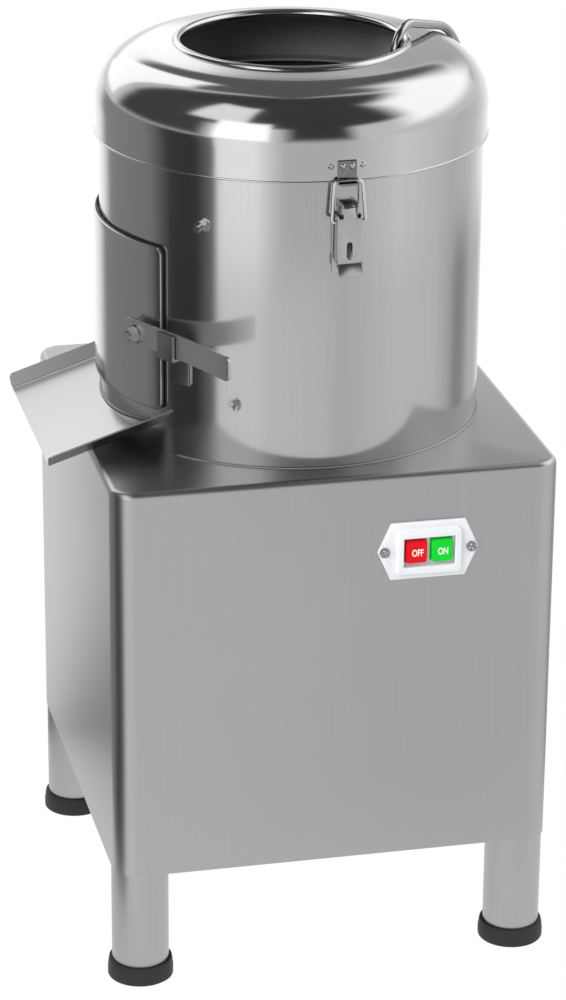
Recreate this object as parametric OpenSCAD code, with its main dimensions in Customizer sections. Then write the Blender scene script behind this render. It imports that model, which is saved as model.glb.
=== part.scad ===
// Electric potato peeler: a drum with an abrasive disc on a motor cabinet.
// Frame: X to the right, Y to the rear, Z up; origin on the floor under the drum's axis.

/* [Cabinet] */
// Width of the cabinet
cab_w = 400; // [360:1:460]
// Depth of the cabinet
cab_d = 400; // [360:1:460]
// Height of the cabinet without its legs
cab_h = 366; // [340:1:420]
// Radius of the cabinet's upright corners
cab_corner_r = 21; // [12:1:30]
// Radius along the cabinet's top edges
cab_edge_r = 6; // [3:0.5:10]
// Sheet thickness of the cabinet
cab_sheet = 1.5; // [1:0.1:3]
// Width of the bottom return flange
base_flange = 32; // [20:1:50]
// Side of the corner gusset that each leg is welded to
gusset_w = 66; // [58:1:90]
// Width of the lip round the rear opening
back_lip = 24; // [16:1:40]

/* [Legs] */
// Height of the cabinet above the floor
leg_h = 110; // [80:1:160]
// Outer diameter of a leg tube
leg_d = 51.5; // [38:0.5:56]
// Wall of a leg tube
leg_wall = 1.5; // [1:0.1:3]
// Outer diameter of a rubber foot cap
foot_d = 59.5; // [57.5:0.5:66]
// Height of a rubber foot cap
foot_h = 17.5; // [14:0.5:40]
// Rubber under the leg's end
foot_floor = 5; // [3:0.5:10]

/* [Drum] */
// Outer diameter of the drum
drum_d = 342; // [330:1:350]
// Height of the drum above the cabinet
drum_h = 276; // [250:1:320]
// Sheet thickness of the drum
drum_wall = 1.5; // [1:0.1:3]
// Thickness of the drum's floor plate
floor_t = 2; // [1.5:0.5:4]
// Thickness of the abrasive liner
liner_t = 2; // [1.5:0.5:4]
// Height of the liner's lower edge above the cabinet
liner_base = 8; // [5:1:15]
// Height of the liner's upper edge above the cabinet
liner_top = 254; // [225:1:260]
// Height of the upper liner bolts above the cabinet
bolt_high = 214; // [195:1:220]
// Height of the lower liner bolts above the cabinet
bolt_low = 55; // [45:1:80]
// Diameter of the liner bolts
bolt_d = 6; // [5:0.5:8]

/* [Lid] */
// Gap between the drum and the lid's skirt
lid_gap = 1.9; // [1:0.1:3]
// Sheet thickness of the lid
lid_sheet = 1.5; // [1:0.1:2.5]
// How far the skirt reaches down over the drum
lid_overlap = 17.4; // [14:0.2:20]
// Height of the skirt's upright part
skirt_h = 27.4; // [26:0.2:40]
// Radius of the lid's shoulder
shoulder_r = 50; // [40:1:54]
// Diameter of the filling opening
opening_d = 195; // [175:1:200]
// Radius of the rolled lip round the opening
lip_r = 4; // [3:0.25:4.5]
// How far the rolled lip stands above the lid's top
lip_rise = 5; // [3:0.5:6]
// Thickness of the lid's gasket on the drum's rim
gasket_t = 2; // [1.5:0.5:4]
// Thickness of the seat ring inside the lid
seat_t = 2; // [1.5:0.5:4]
// How far the lid lifts
lid_lift = 300; // [200:10:400]

/* [Water pipe] */
// Outer diameter of the water pipe
pipe_d = 8; // [6:0.5:9]
// Wall of the water pipe
pipe_wall = 1; // [0.6:0.1:1.2]
// Heading of the pipe's upright plane, in degrees from the right-hand side
pipe_heading = 45; // [40:1:50]
// Distance of the pipe's plane from the drum's axis
pipe_offset = 80; // [76:0.5:82]
// Bend radius over the lip
pipe_bend = 23; // [20:1:26]
// Bend radius over the shoulder
pipe_sweep = 57; // [50:1:60]
// Height of the pipe's highest point above the lip, at its middle line
pipe_rise = 9; // [8.5:0.5:14]
// How far the pipe's inner end hangs into the opening
pipe_drop = 36; // [25:1:60]
// Length of the hose tail below the skirt
tail_len = 26; // [20:1:40]

/* [Discharge] */
// Half the angle that the door covers
door_half = 37.5; // [36:0.5:38]
// Height of the door's lower edge above the cabinet
door_low = 39; // [38:1:44]
// Height of the door's upper edge above the cabinet
door_high = 188; // [175:1:195]
// Sheet thickness of the door
door_sheet = 1.5; // [1:0.1:2.5]
// Gap between the drum and the door
door_gap = 3.5; // [3.2:0.1:5]
// Width of the seal's rim round the discharge window
seal_w = 5; // [3:0.5:8]
// Width of the chute's floor
chute_w = 203; // [180:1:206]
// Distance of the chute's lip from the drum's axis
chute_reach = 239; // [215:1:260]
// Height of the chute's lip below the cabinet's top
chute_drop = 5.6; // [0:0.2:10]
// Slope of the chute in degrees
chute_slope = 18.2; // [16:0.2:19]
// Sheet thickness of the chute
chute_sheet = 1.5; // [1:0.1:2.5]
// Width of the chute's side flanges
flange_w = 15; // [10:0.5:17]
// How far the side flanges lean outwards, in degrees
flange_lean = 45; // [30:1:50]

/* [Door lever] */
// Length of the lever from its bolt to its tip
lever_len = 131; // [110:1:140]
// Height of the lever's flat bar
lever_w = 22; // [18:1:24]
// Thickness of the lever's flat bar
lever_t = 3; // [2.5:0.5:4]
// Height of the lever's bolt above the cabinet
lever_z = 106; // [95:1:115]
// Angle between the door's free edge and the lever's bolt
lever_in = 8.1; // [7.5:0.1:10]
// Diameter of the lever's bolt
lever_bolt_d = 8; // [6:0.5:10]
// Width of the catch
catch_w = 21; // [15:1:24]
// Angle of the lever's handle outwards from its flat bar
lever_crank = 5; // [0:0.5:8]
// Distance of the catch from the lever's bolt
catch_at = 35; // [33:1:45]
// Thickness of the catch's plate
catch_t = 3; // [2:0.5:4]

/* [Latches] */
// Direction of the front latch from the axis, in degrees
latch_az = -87.3; // [-90:0.1:-80]
// Width of the latch's base plate
latch_w = 23.6; // [20:0.2:30]
// Length of the latch's base plate
latch_base_len = 78; // [70:1:90]
// Distance of the latch's pivot from the drum
latch_out = 10; // [9.5:0.25:12]
// Length of the latch's lever below its pivot
latch_len = 60; // [54:1:66]
// Diameter of the bail's wire
bail_d = 3.2; // [2.5:0.1:3.4]
// Distance from the skirt's lower edge down to the latch's pivot
latch_below = 21.6; // [21:0.2:26]

/* [Peeling disc and spindle] */
// Gap between the disc and the liner
disc_gap = 5; // [3:0.5:8]
// Height of the disc's flat above the cabinet
disc_top = 32; // [30:1:34]
// Thickness of the disc
disc_t = 8; // [6:0.5:10]
// Number of wave ridges on the disc
ridge_count = 4; // [2:1:6]
// Height of the wave ridges
ridge_h = 7; // [4:0.5:8]
// Diameter of the spindle in its bearings
spindle_d = 25; // [20:1:30]
// Outer diameter of the bearings
bearing_d = 52; // [47:1:58]
// Width of each bearing
bearing_w = 15; // [12:1:18]
// Gap between the big pulley's hub and the bearing housing
housing_gap = 8.5; // [5:0.5:15]
// Running clearance of the spindle, on the radius
run_gap = 0.05; // [0.02:0.01:0.08]

/* [Drive] */
// Distance of the motor from the spindle, along X and along Y
motor_at = 95; // [92:1:97]
// Diameter of the driven pulley
big_pulley_d = 190; // [170:1:196]
// Diameter of the motor's pulley
small_pulley_d = 58; // [54:1:66]
// Top width of the V-belt
belt_w = 13; // [10:0.5:13]
// Thickness of the V-belt
belt_t = 8; // [6:0.5:8]
// Height of the belt's middle above the cabinet's base
belt_up = 202; // [198:1:208]
// Diameter of the motor's body without fins
motor_d = 136; // [120:1:140]
// Length of the motor's body
motor_len = 128; // [100:1:132]
// Diameter of the motor's shaft
motor_shaft_d = 19; // [14:1:24]
// Diameter of the drain elbow
drain_d = 50; // [40:1:54]
// How far the drain's spigot stands out of the rear
drain_out = 38; // [30:1:60]

/* [Switch] */
// Width of the switch plate between its points
switch_w = 90.6; // [80:0.2:110]
// Height of the switch plate
switch_h = 53; // [48:0.5:60]
// Width of the switch plate's flat sides
switch_flat = 67; // [60:0.5:72]
// Sideways place of the switch
switch_x = 79; // [40:1:110]
// Height of the switch above the floor
switch_z = 404.8; // [360:0.1:420]
// Width of a button
button_w = 19; // [15:0.2:21]
// Height of a button
button_h = 20.4; // [18:0.2:24]
// How far a button travels
button_travel = 3; // [2:0.5:4]

/* [Hidden] */

$fn = 96;
fine = 480;           // facets of a wall that small fittings lie against
bite = 0.3;           // how far a straight length runs into a bend
trim = 0.03;          // how much slimmer it is than the bend
seat = 0.3;           // running gap between moving neighbours
slack = 0.1;          // radial slack of a bolt in its hole
cut = 1;              // how far a cutter runs past a face

cab_z = leg_h + cab_h;
drum_r = drum_d / 2;
drum_in_r = drum_r - drum_wall;
rim_z = cab_z + drum_h;
liner_out_r = drum_in_r - seat;
liner_in_r = liner_out_r - liner_t;

skirt_r = drum_r + lid_gap + lid_sheet;
skirt_z = rim_z - lid_overlap;
shoulder_z = skirt_z + skirt_h;
lid_top = shoulder_z + shoulder_r;
lip_top = lid_top + lip_rise;
opening_r = opening_d / 2;
lip_mid_r = opening_r + lip_r;
bead_r = 1.4;

door_in_r = drum_r + door_gap;
door_out_r = door_in_r + door_sheet;
door_z0 = cab_z + door_low;
door_z1 = cab_z + door_high;
seal_half = door_half - 1.2;
window_half = seal_half - seal_w / drum_r * 180 / PI;
window_z0 = door_z0 + 1 + seal_w;
window_z1 = door_z1 - 7 - seal_w;

hinge_az = 180 - door_half - 5;
hinge_knuckle_r = 5.5;
hinge_r = drum_r + hinge_knuckle_r + 1.5;
hinge_pin_r = 3;
hinge_z0 = door_z0 + 20;
hinge_z1 = door_z1 - 20;
knuckles = 5;
knuckle_h = (hinge_z1 - hinge_z0) / knuckles;

lever_az = -180 + door_half - lever_in;
lever_zc = cab_z + lever_z + lever_t;
lever_in_d = door_out_r + 5;
lever_bolt_r = lever_bolt_d / 2;
lever_bolt_z = cab_z + lever_z;
catch_az = lever_az + atan((catch_at + catch_w / 2) / lever_in_d);
catch_shelf_z = lever_zc - lever_w / 2 - seat;

chute_z = cab_z - chute_drop;

pivot_z = skirt_z - latch_below;
pin_r = 2;
ear_t = 1.5;
channel_w = latch_w - 1.6;
curl_w = channel_w / 2;
ear_y = curl_w / 2 + seat + ear_t / 2;
bail_r = bail_d / 2;
bail_u = latch_out - 2.5;
bail_low = -11;
hook_lip = 0.8;       // how far the keeper's lip stands above its shelf
hook_room = 2.7;      // gap between the bail's wire and the lip
bail_bar_z = skirt_z - pivot_z + seat + 1.5 - 1 + bail_r;
keeper_w = 16.5;
latch_sides = [0, 180];

pipe_r = pipe_d / 2;
pipe_in_s = sqrt(pow(opening_r - pipe_r - 2.6, 2) - pow(pipe_offset, 2));
pipe_out_s = sqrt(pow(skirt_r + bead_r + pipe_r + seat, 2) - pow(pipe_offset, 2));
bend_s = pipe_in_s + pipe_bend;
bend_z = lip_top + pipe_rise - pipe_bend;
sweep_s = pipe_out_s - pipe_sweep;
sweep_z = shoulder_z - 3.5;
pipe_turn = acos((pipe_bend - pipe_sweep) / norm([sweep_s - bend_s, sweep_z - bend_z]))
            + atan2(sweep_z - bend_z, sweep_s - bend_s);
pipe_low = skirt_z - 4;

disc_r = liner_in_r - disc_gap;
disc_z = cab_z + disc_top;
hub_z = disc_z - 18;
neck_top = cab_z + floor_t + 8;
spindle_r = spindle_d / 2;
spindle_top_r = spindle_r - 2.5;
bearing_r = bearing_d / 2;
neck_r = bearing_r + 5.7;
housing_r = bearing_r + 12;
flange_r = housing_r + 37;
flange_t = 10;
flange_z = cab_z - cab_sheet - flange_t;
housing_bolt_r = 58;

big_r = big_pulley_d / 2;
small_r = small_pulley_d / 2;
belt_in = 1;          // belt's back below the pulley's rim
pitch_in = 5;         // pitch line below the pulley's rim
centre_d = motor_at * sqrt(2);
wrap = acos((big_r - small_r) / centre_d);
pulley_w = belt_w + 5;
belt_z = leg_h + belt_up;
hub_up = 15;          // pulley's hub above its rim
housing_z = belt_z + pulley_w / 2 + hub_up + housing_gap;
housing_len = flange_z - housing_z;
fin_h = 7;
rail_w = 18;
rail_h = 30;
rail_front = motor_at - motor_d / 2 - fin_h - rail_w - 5;
rail_rear = cab_d / 2 - cab_sheet - rail_w;
rail_z = belt_z - pulley_w / 2 - 15 - rail_h;
plate_t = 6;
plate_z = rail_z + rail_h;
motor_top = plate_z;
shield_t = 10;
motor_r = motor_d / 2;
shaft_r = motor_shaft_d / 2;
body_top = motor_top - shield_t;
body_low = body_top - motor_len;
cover_h = 36;
fan_z = body_low - shield_t - 14;

drain_r = drain_d / 2;
drain_x = -85;
drain_y = 100;
drain_bend = 40;
drain_turn_z = cab_z - 46;
back_y = cab_d / 2;
panel_t = 1.2;
gland_x = cab_w / 2 - cab_corner_r - back_lip - 15;
gland_z = leg_h + 52;
gland_r = 9;
gland_bore_r = 4.5;

frame_w = 54.4;
frame_h = 37.6;
window_w = 46.6;
window_h = 27;
switch_plate_t = 3;
switch_rise = 9;
button_gap = 23;
front_y = -cab_d / 2;

steel = "#b9bbbd";
bright = "#d5d7d9";
dark_steel = "#8f9296";

// ---------- shared shapes ----------

// Rectangle with round corners, centred
module round_rect(w, d, r) {
    square([w - 2 * r, d], center = true);
    square([w, d - 2 * r], center = true);
    for (x = [-1, 1], y = [-1, 1])
        translate([x * (w / 2 - r), y * (d / 2 - r)])
            circle(r);
}

// Block with round upright corners and round top edges
module soft_block(w, d, h, corner, edge) {
    linear_extrude(h - edge)
        round_rect(w, d, corner);
    linear_extrude(h)
        round_rect(w - 2 * edge, d - 2 * edge, corner - edge);
    for (x = [-1, 1], y = [-1, 1])
        translate([x * (w / 2 - corner), y * (d / 2 - corner), h - edge])
            rotate_extrude()
                intersection() {
                    translate([corner - edge, 0])
                        circle(edge);
                    translate([0, -edge])
                        square([corner, 2 * edge]);
                }
    for (y = [-1, 1])
        translate([0, y * (d / 2 - edge), h - edge])
            rotate([0, 90, 0])
                cylinder(r = edge, h = w - 2 * corner, center = true);
    for (x = [-1, 1])
        translate([x * (w / 2 - edge), 0, h - edge])
            rotate([90, 0, 0])
                cylinder(r = edge, h = d - 2 * corner, center = true);
}

// Part of a ring round the drum's axis, between two directions
module arc_wall(r0, r1, z0, z1, a0, a1) {
    rotate([0, 0, a0])
        rotate_extrude(angle = a1 - a0)
            translate([r0, z0])
                square([r1 - r0, z1 - z0]);
}

// Ring about the Z axis
module ring(r_out, r_in, h) {
    difference() {
        cylinder(r = r_out, h = h);
        translate([0, 0, -cut])
            cylinder(r = r_in, h = h + 2 * cut);
    }
}

// Local frame on the drum: +X outwards from the axis, +Z up
module facing(az, z) {
    rotate([0, 0, az])
        translate([0, 0, z])
            children();
}

// Cylinder that points outwards, from one radius to another
module peg(r, from, to) {
    translate([from, 0, 0])
        rotate([0, 90, 0])
            cylinder(r = r, h = to - from);
}

// Hexagon prism that points outwards
module hex_peg(across, from, to) {
    translate([from, 0, 0])
        rotate([0, 90, 0])
            cylinder(r = across / sqrt(3), h = to - from, $fn = 6);
}

// Everything inside a radius of the axis, as a cutter
module core(r) {
    translate([0, 0, cab_z - 20])
        cylinder(r = r, h = drum_h + 150, $fn = fine);
}

// Straight wire between two points, with round ends
module wire(p, q, r) {
    d = q - p;
    translate(p) {
        sphere(r, $fn = 32);
        rotate([0, acos(d.z / norm(d)), atan2(d.y, d.x)])
            cylinder(r = r - trim, h = norm(d), $fn = 32);
    }
    translate(q)
        sphere(r, $fn = 32);
}

// ---------- cabinet ----------

module cabinet_shell() {
    inner_w = cab_w - 2 * cab_sheet;
    inner_d = cab_d - 2 * cab_sheet;
    color(steel)
    difference() {
        translate([0, 0, leg_h])
            soft_block(cab_w, cab_d, cab_h, cab_corner_r, cab_edge_r);
        translate([0, 0, leg_h + cab_sheet])
            soft_block(inner_w, inner_d, cab_h - 2 * cab_sheet, cab_corner_r - cab_sheet,
                       cab_edge_r - cab_sheet);
        base_opening();
        translate([0, back_y - cab_sheet - cut, leg_h + cab_h / 2])
            rotate([-90, 0, 0])
                linear_extrude(cab_sheet + 2 * cut)
                    round_rect(cab_w - 2 * cab_corner_r - 2 * back_lip, cab_h - 2 * back_lip, 8);
        top_holes();
        switch_hole();
        for (p = screw_places())
            translate([p.x, back_y - cab_sheet - cut, p.y])
                rotate([-90, 0, 0])
                    cylinder(r = 2 + slack, h = cab_sheet + 2 * cut);
    }
}

// Opening in the cabinet's bottom, which leaves a flange and four gussets
module base_opening() {
    translate([0, 0, leg_h - cut])
        linear_extrude(cab_sheet + 2 * cut) {
            square([cab_w - 2 * gusset_w, cab_d - 2 * base_flange], center = true);
            square([cab_w - 2 * base_flange, cab_d - 2 * gusset_w], center = true);
        }
}

// Holes through the cabinet's top and the drum's floor
module top_holes() {
    translate([0, 0, cab_z - cab_sheet - cut]) {
        cylinder(r = neck_r + seat, h = cab_sheet + floor_t + 2 * cut);
        translate([drain_x, drain_y, 0])
            cylinder(r = drain_r, h = cab_sheet + floor_t + 2 * cut);
        for (a = [45:90:315])
            rotate([0, 0, a])
                translate([housing_bolt_r, 0, 0])
                    cylinder(r = 4 + slack, h = cab_sheet + floor_t + 2 * cut);
    }
}

// Hole in the front wall for the switch's body and its two screws
module switch_hole() {
    translate([switch_x, front_y - cut, switch_z])
        rotate([-90, 0, 0]) {
            linear_extrude(cab_sheet + 2 * cut)
                square([frame_w, frame_h], center = true);
            for (x = [-1, 1])
                translate([x * switch_screw_x(), 0, 0])
                    cylinder(r = 2 + slack, h = cab_sheet + 2 * cut);
        }
}

function switch_screw_x() = switch_w / 2 - 6;

// Middles of the back panel's screws, as [x, z]
function screw_places() =
    let (x = cab_w / 2 - cab_corner_r - back_lip / 2, z = cab_h / 2 - back_lip / 2)
    [for (i = [-1, 0, 1], k = [-1, 1]) [i * x, leg_h + cab_h / 2 + k * z]];

module back_panel() {
    slots = 7;
    color(steel)
    difference() {
        translate([0, back_y, leg_h + cab_h / 2])
            rotate([-90, 0, 0])
                linear_extrude(panel_t)
                    round_rect(cab_w - 2 * cab_corner_r - 2, cab_h - 8, 6);
        translate([drain_x, back_y - cut, drain_turn_z - drain_bend])
            rotate([-90, 0, 0])
                cylinder(r = drain_r + seat, h = panel_t + 2 * cut);
        translate([gland_x, back_y - cut, gland_z])
            rotate([-90, 0, 0])
                cylinder(r = gland_r + slack, h = panel_t + 2 * cut);
        for (i = [0:slots - 1], x = [-55, 55])
            translate([x, back_y - cut, leg_h + 60 + i * 16])
                rotate([-90, 0, 0])
                    linear_extrude(panel_t + 2 * cut)
                        round_rect(80, 6, 2.9);
        for (p = screw_places())
            translate([p.x, back_y - cut, p.y])
                rotate([-90, 0, 0])
                    cylinder(r = 2 + slack, h = panel_t + 2 * cut);
    }
}

module back_panel_screws() {
    color(bright)
    for (p = screw_places())
        translate([p.x, back_y + panel_t, p.y])
            rotate([-90, 0, 0])
                pan_screw(4, 8, 2.2, cab_sheet + panel_t + 5);
}

// Pan head screw with a cross recess; its head stands on the plane z = 0
module pan_screw(d, head_d, head_h, len) {
    difference() {
        union() {
            cylinder(r1 = head_d / 2, r2 = head_d / 2 - 0.8, h = head_h, $fn = 32);
            translate([0, 0, -len])
                cylinder(r = d / 2, h = len + 0.1, $fn = 32);
        }
        for (a = [0, 90])
            rotate([0, 0, a])
                translate([-head_d * 0.3, -0.45, head_h - 1])
                    cube([head_d * 0.6, 0.9, 2]);
    }
}

module legs() {
    color(steel)
    at_corners()
        translate([0, 0, foot_floor])
            ring(leg_d / 2, leg_d / 2 - leg_wall, leg_h - foot_floor);
}

module at_corners() {
    for (x = [-1, 1], y = [-1, 1])
        translate([x * (cab_w - leg_d) / 2, y * (cab_d - leg_d) / 2, 0])
            children();
}

module foot_caps() {
    bore_r = leg_d / 2 + slack / 2;
    color("#17181a")
    at_corners()
        difference() {
            rotate_extrude()
                polygon([[0, 0], [foot_d / 2 - 1.5, 0], [foot_d / 2, 1.5], [foot_d / 2, foot_floor + 3],
                         [foot_d / 2 - 1.4, foot_h - 1], [foot_d / 2 - 2.2, foot_h], [0, foot_h]]);
            translate([0, 0, foot_floor])
                cylinder(r = bore_r, h = foot_h);
        }
}

// ---------- drum ----------

module drum() {
    color(steel)
    difference() {
        translate([0, 0, cab_z])
            ring(drum_r, drum_in_r, drum_h);
        arc_wall(drum_in_r - cut, drum_r + cut, window_z0, window_z1, 180 - window_half, 180 + window_half);
        liner_bolt_holes();
        at_latches()
            for (z = rivet_heights())
                translate([0, 0, z])
                    peg(2 + slack, drum_in_r - cut, drum_r + cut);
    }
}

module drum_floor() {
    color(steel)
    difference() {
        translate([0, 0, cab_z])
            cylinder(r = drum_in_r, h = floor_t);
        top_holes();
    }
}

module abrasive_liner() {
    color("#3c3a38")
    difference() {
        translate([0, 0, cab_z + liner_base])
            ring(liner_out_r, liner_in_r, liner_top - liner_base);
        arc_wall(liner_in_r - cut, liner_out_r + cut, window_z0, window_z1, 180 - window_half,
                 180 + window_half);
        liner_bolt_holes();
    }
}

// Directions and heights of the liner's bolts: a pair at the front, a pair opposite
function liner_bolt_places() =
    [for (a = [-129.2, 50.8]) [a, cab_z + bolt_high], for (a = [-119.3, 60.7]) [a, cab_z + bolt_low]];

module liner_bolt_holes() {
    for (p = liner_bolt_places())
        facing(p[0], p[1])
            peg(bolt_d / 2 + slack, liner_in_r - cut, drum_r + cut);
}

module liner_bolts() {
    nut_t = 5;
    washer_t = 1.2;
    color(bright)
    for (p = liner_bolt_places()) {
        intersection() {
            facing(p[0], p[1])
                union() {
                    peg(bolt_d * 1.3, liner_in_r - 2.5, liner_in_r + 1);
                    peg(bolt_d / 2, liner_in_r - 2, drum_r + 11);
                }
            union() {
                core(liner_in_r);
                facing(p[0], p[1])
                    peg(bolt_d / 2, liner_in_r - 2, drum_r + 12);
            }
        }
        difference() {
            facing(p[0], p[1])
                peg(bolt_d * 1.1, drum_r - 1, drum_r + washer_t);
            facing(p[0], p[1])
                peg(bolt_d / 2 + slack, drum_r - 5, drum_r + 5);
            core(drum_r);
        }
        difference() {
            facing(p[0], p[1])
                hex_peg(bolt_d * 1.67, drum_r + washer_t, drum_r + washer_t + nut_t);
            facing(p[0], p[1])
                peg(bolt_d / 2 + slack, drum_r, drum_r + 12);
        }
    }
}

// ---------- discharge door, lever and chute ----------

// Curved plate with round corners
module door() {
    wide = 2 * door_out_r * sin(door_half);
    color(steel)
    difference() {
        intersection() {
            arc_wall(door_in_r, door_out_r, door_z0 - cut, door_z1 + cut, 177 - door_half, 183 + door_half);
            translate([-drum_r - 40, 0, (door_z0 + door_z1) / 2])
                rotate([90, 0, 90])
                    linear_extrude(120)
                        round_rect(wide, door_z1 - door_z0, 6);
        }
        facing(lever_az, lever_bolt_z)
            peg(lever_bolt_r + slack, door_in_r - 5, door_out_r + 5);
    }
}

module door_seal() {
    color("#202224")
    difference() {
        arc_wall(drum_r + seat, door_in_r, window_z0 - seal_w, window_z1 + seal_w, 180 - seal_half,
                 180 + seal_half);
        arc_wall(drum_r - cut, door_in_r + cut, window_z0, window_z1, 180 - window_half, 180 + window_half);
    }
}

// Stack of knuckles round the hinge's pin: either the even or the odd ones
module knuckle_stack(first, r, gap) {
    for (i = [first:2:knuckles - 1])
        translate([0, 0, hinge_z0 + i * knuckle_h + gap])
            cylinder(r = r, h = knuckle_h - 2 * gap);
}

module at_hinge() {
    rotate([0, 0, hinge_az])
        translate([hinge_r, 0, 0])
            children();
}

module door_hinge_leaf() {
    color(dark_steel)
    difference() {
        union() {
            difference() {
                arc_wall(door_out_r, door_out_r + 1.5, hinge_z0, hinge_z1, hinge_az, hinge_az + 17);
                at_hinge()
                    knuckle_stack(0, hinge_knuckle_r + seat, -seat);
            }
            at_hinge()
                knuckle_stack(1, hinge_knuckle_r, seat / 2);
        }
        at_hinge()
            translate([0, 0, hinge_z0 - cut])
                cylinder(r = hinge_pin_r + run_gap, h = hinge_z1 - hinge_z0 + 2 * cut);
    }
}

module drum_hinge_leaf() {
    color(dark_steel)
    difference() {
        union() {
            arc_wall(drum_r, drum_r + 1.5, hinge_z0, hinge_z1, hinge_az - 13, hinge_az - 2.5);
            difference() {
                arc_wall(drum_r, drum_r + 4, hinge_z0, hinge_z1, hinge_az - 3, hinge_az);
                at_hinge()
                    knuckle_stack(1, hinge_knuckle_r + seat, -seat);
            }
            at_hinge()
                knuckle_stack(0, hinge_knuckle_r, seat / 2);
        }
        at_hinge()
            translate([0, 0, hinge_z0 - cut])
                cylinder(r = hinge_pin_r, h = hinge_z1 - hinge_z0 + 2 * cut);
    }
}

module hinge_pin() {
    color(bright)
    at_hinge()
        translate([0, 0, hinge_z0]) {
            cylinder(r = hinge_pin_r, h = hinge_z1 - hinge_z0);
            translate([0, 0, hinge_z1 - hinge_z0])
                cylinder(r = hinge_pin_r + 1.5, h = 2.5);
            translate([0, 0, -2])
                cylinder(r = hinge_pin_r + 1, h = 2);
        }
}

// Flat bar with round ends; its handle leans outwards past the catch
module door_lever() {
    knee = catch_at + catch_w + 12;
    lean = (lever_len - knee) * tan(lever_crank);
    past = lever_t * tan(lever_crank / 2);
    color(steel)
    facing(lever_az, 0)
        difference() {
            translate([lever_in_d, 0, lever_zc])
                intersection() {
                    translate([0, 0, -lever_w])
                        linear_extrude(2 * lever_w)
                            polygon([[0, -20], [lever_t, -20], [lever_t, knee - past],
                                     [2 * lean + lever_t, 2 * lever_len - knee - past],
                                     [2 * lean, 2 * lever_len - knee], [0, knee]]);
                    translate([-cut, lever_len / 2 - 6, 0])
                        rotate([90, 0, 90])
                            linear_extrude(lean + lever_t + 2 * cut)
                                round_rect(lever_len + 12, lever_w, 6);
                }
            translate([0, 0, lever_bolt_z])
                peg(lever_bolt_r + run_gap, lever_in_d - cut, lever_in_d + lever_t + cut);
        }
}

module lever_bolt() {
    color(bright)
    facing(lever_az, lever_bolt_z) {
        peg(lever_bolt_r, door_in_r - 2, lever_in_d + lever_t + 9);
        peg(lever_bolt_r + 4, drum_r + seat, door_in_r - seat);
    }
}

module lever_nut() {
    washer_z = lever_in_d + lever_t + seat;
    color(bright) {
        difference() {
            facing(lever_az, lever_bolt_z)
                peg(lever_bolt_r + 5, door_in_r, lever_in_d - seat);
            core(door_out_r);
            facing(lever_az, lever_bolt_z)
                peg(lever_bolt_r, door_in_r - cut, lever_in_d + cut);
        }
        facing(lever_az, lever_bolt_z)
            difference() {
                peg(lever_bolt_r + 4.5, washer_z, washer_z + 1.2);
                peg(lever_bolt_r, washer_z - cut, washer_z + 3);
            }
        facing(lever_az, lever_bolt_z)
            difference() {
                hex_peg(lever_bolt_d * 1.625, washer_z + 1.2, washer_z + 7);
                peg(lever_bolt_r, washer_z - cut, washer_z + 10);
            }
    }
}

module lever_catch() {
    front_d = lever_in_d + lever_t + 2 * seat;
    shelf_top = catch_shelf_z;
    color(steel)
    difference() {
        union() {
            facing(catch_az, shelf_top - 30)
                translate([drum_r - 2, -catch_w / 2, 0])
                    cube([catch_t + 2, catch_w, 30]);
            facing(lever_az, shelf_top - catch_t)
                translate([drum_r - 20, catch_at, 0])
                    cube([front_d + catch_t - drum_r + 20, catch_w, catch_t]);
            facing(lever_az, shelf_top - catch_t)
                translate([front_d, catch_at, 0])
                    cube([catch_t, catch_w, lever_w + catch_t - 1]);
        }
        core(drum_r);
    }
}

module chute() {
    len = chute_reach;
    color(steel)
    difference() {
        translate([-chute_reach, 0, chute_z])
            rotate([0, -chute_slope, 0]) {
                translate([0, -chute_w / 2, -chute_sheet])
                    cube([len, chute_w, chute_sheet]);
                for (side = [-1, 1])
                    translate([0, side * chute_w / 2, -chute_sheet])
                        rotate([-side * flange_lean, 0, 0])
                            rotate([90, 0, 0])
                                translate([0, 0, side > 0 ? 0 : -chute_sheet])
                                    linear_extrude(chute_sheet)
                                        chute_side(len);
            }
        core(drum_r);
        translate([0, -cab_d, cab_z - cut])
            cube([cab_w, 2 * cab_d, drum_h]);
    }
}

// Side flange of the chute, with its free corner rounded
module chute_side(len) {
    r = 10;
    difference() {
        square([len, flange_w]);
        difference() {
            translate([-cut, flange_w - r])
                square([r + cut, r + cut]);
            translate([r, flange_w - r])
                circle(r);
        }
    }
}

// ---------- lid and water pipe ----------

module lid_profile() {
    mid_r = skirt_r - shoulder_r;
    translate([skirt_r - lid_sheet, skirt_z])
        square([lid_sheet, skirt_h]);
    translate([skirt_r + bead_r - bead_r * 1.2 - 0.2, skirt_z + bead_r])
        circle(bead_r);
    intersection() {
        difference() {
            translate([mid_r, shoulder_z])
                circle(shoulder_r);
            translate([mid_r, shoulder_z])
                circle(shoulder_r - lid_sheet);
        }
        translate([mid_r, shoulder_z])
            square(shoulder_r + cut);
    }
    difference() {
        translate([lip_mid_r, lid_top - lid_sheet])
            square([mid_r - lip_mid_r, lid_sheet]);
        translate([lip_mid_r, lip_top - lip_r])
            circle(lip_r - 0.5);
    }
    translate([lip_mid_r, lip_top - lip_r])
        circle(lip_r);
}

module lid() {
    color(bright)
    difference() {
        rotate_extrude()
            lid_profile();
        at_latches()
            keeper_rivet_holes(slack);
        at_pipe_plane()
            translate([pipe_out_s, 0, 0])
                translate([0, 0, clip_z()])
                    clip_rivet_hole();
    }
}

module lid_seat_ring() {
    color(steel)
    translate([0, 0, rim_z + gasket_t])
        ring(skirt_r - lid_sheet, drum_in_r - 12, seat_t);
}

module lid_gasket() {
    color("#202224")
    rotate_extrude()
        difference() {
            translate([drum_in_r - 2.5, rim_z - 8])
                square([drum_wall + 2.5 + 1.2, 8 + gasket_t]);
            translate([drum_in_r, rim_z - 8 - cut])
                square([drum_wall, 8 + cut]);
        }
}

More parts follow.
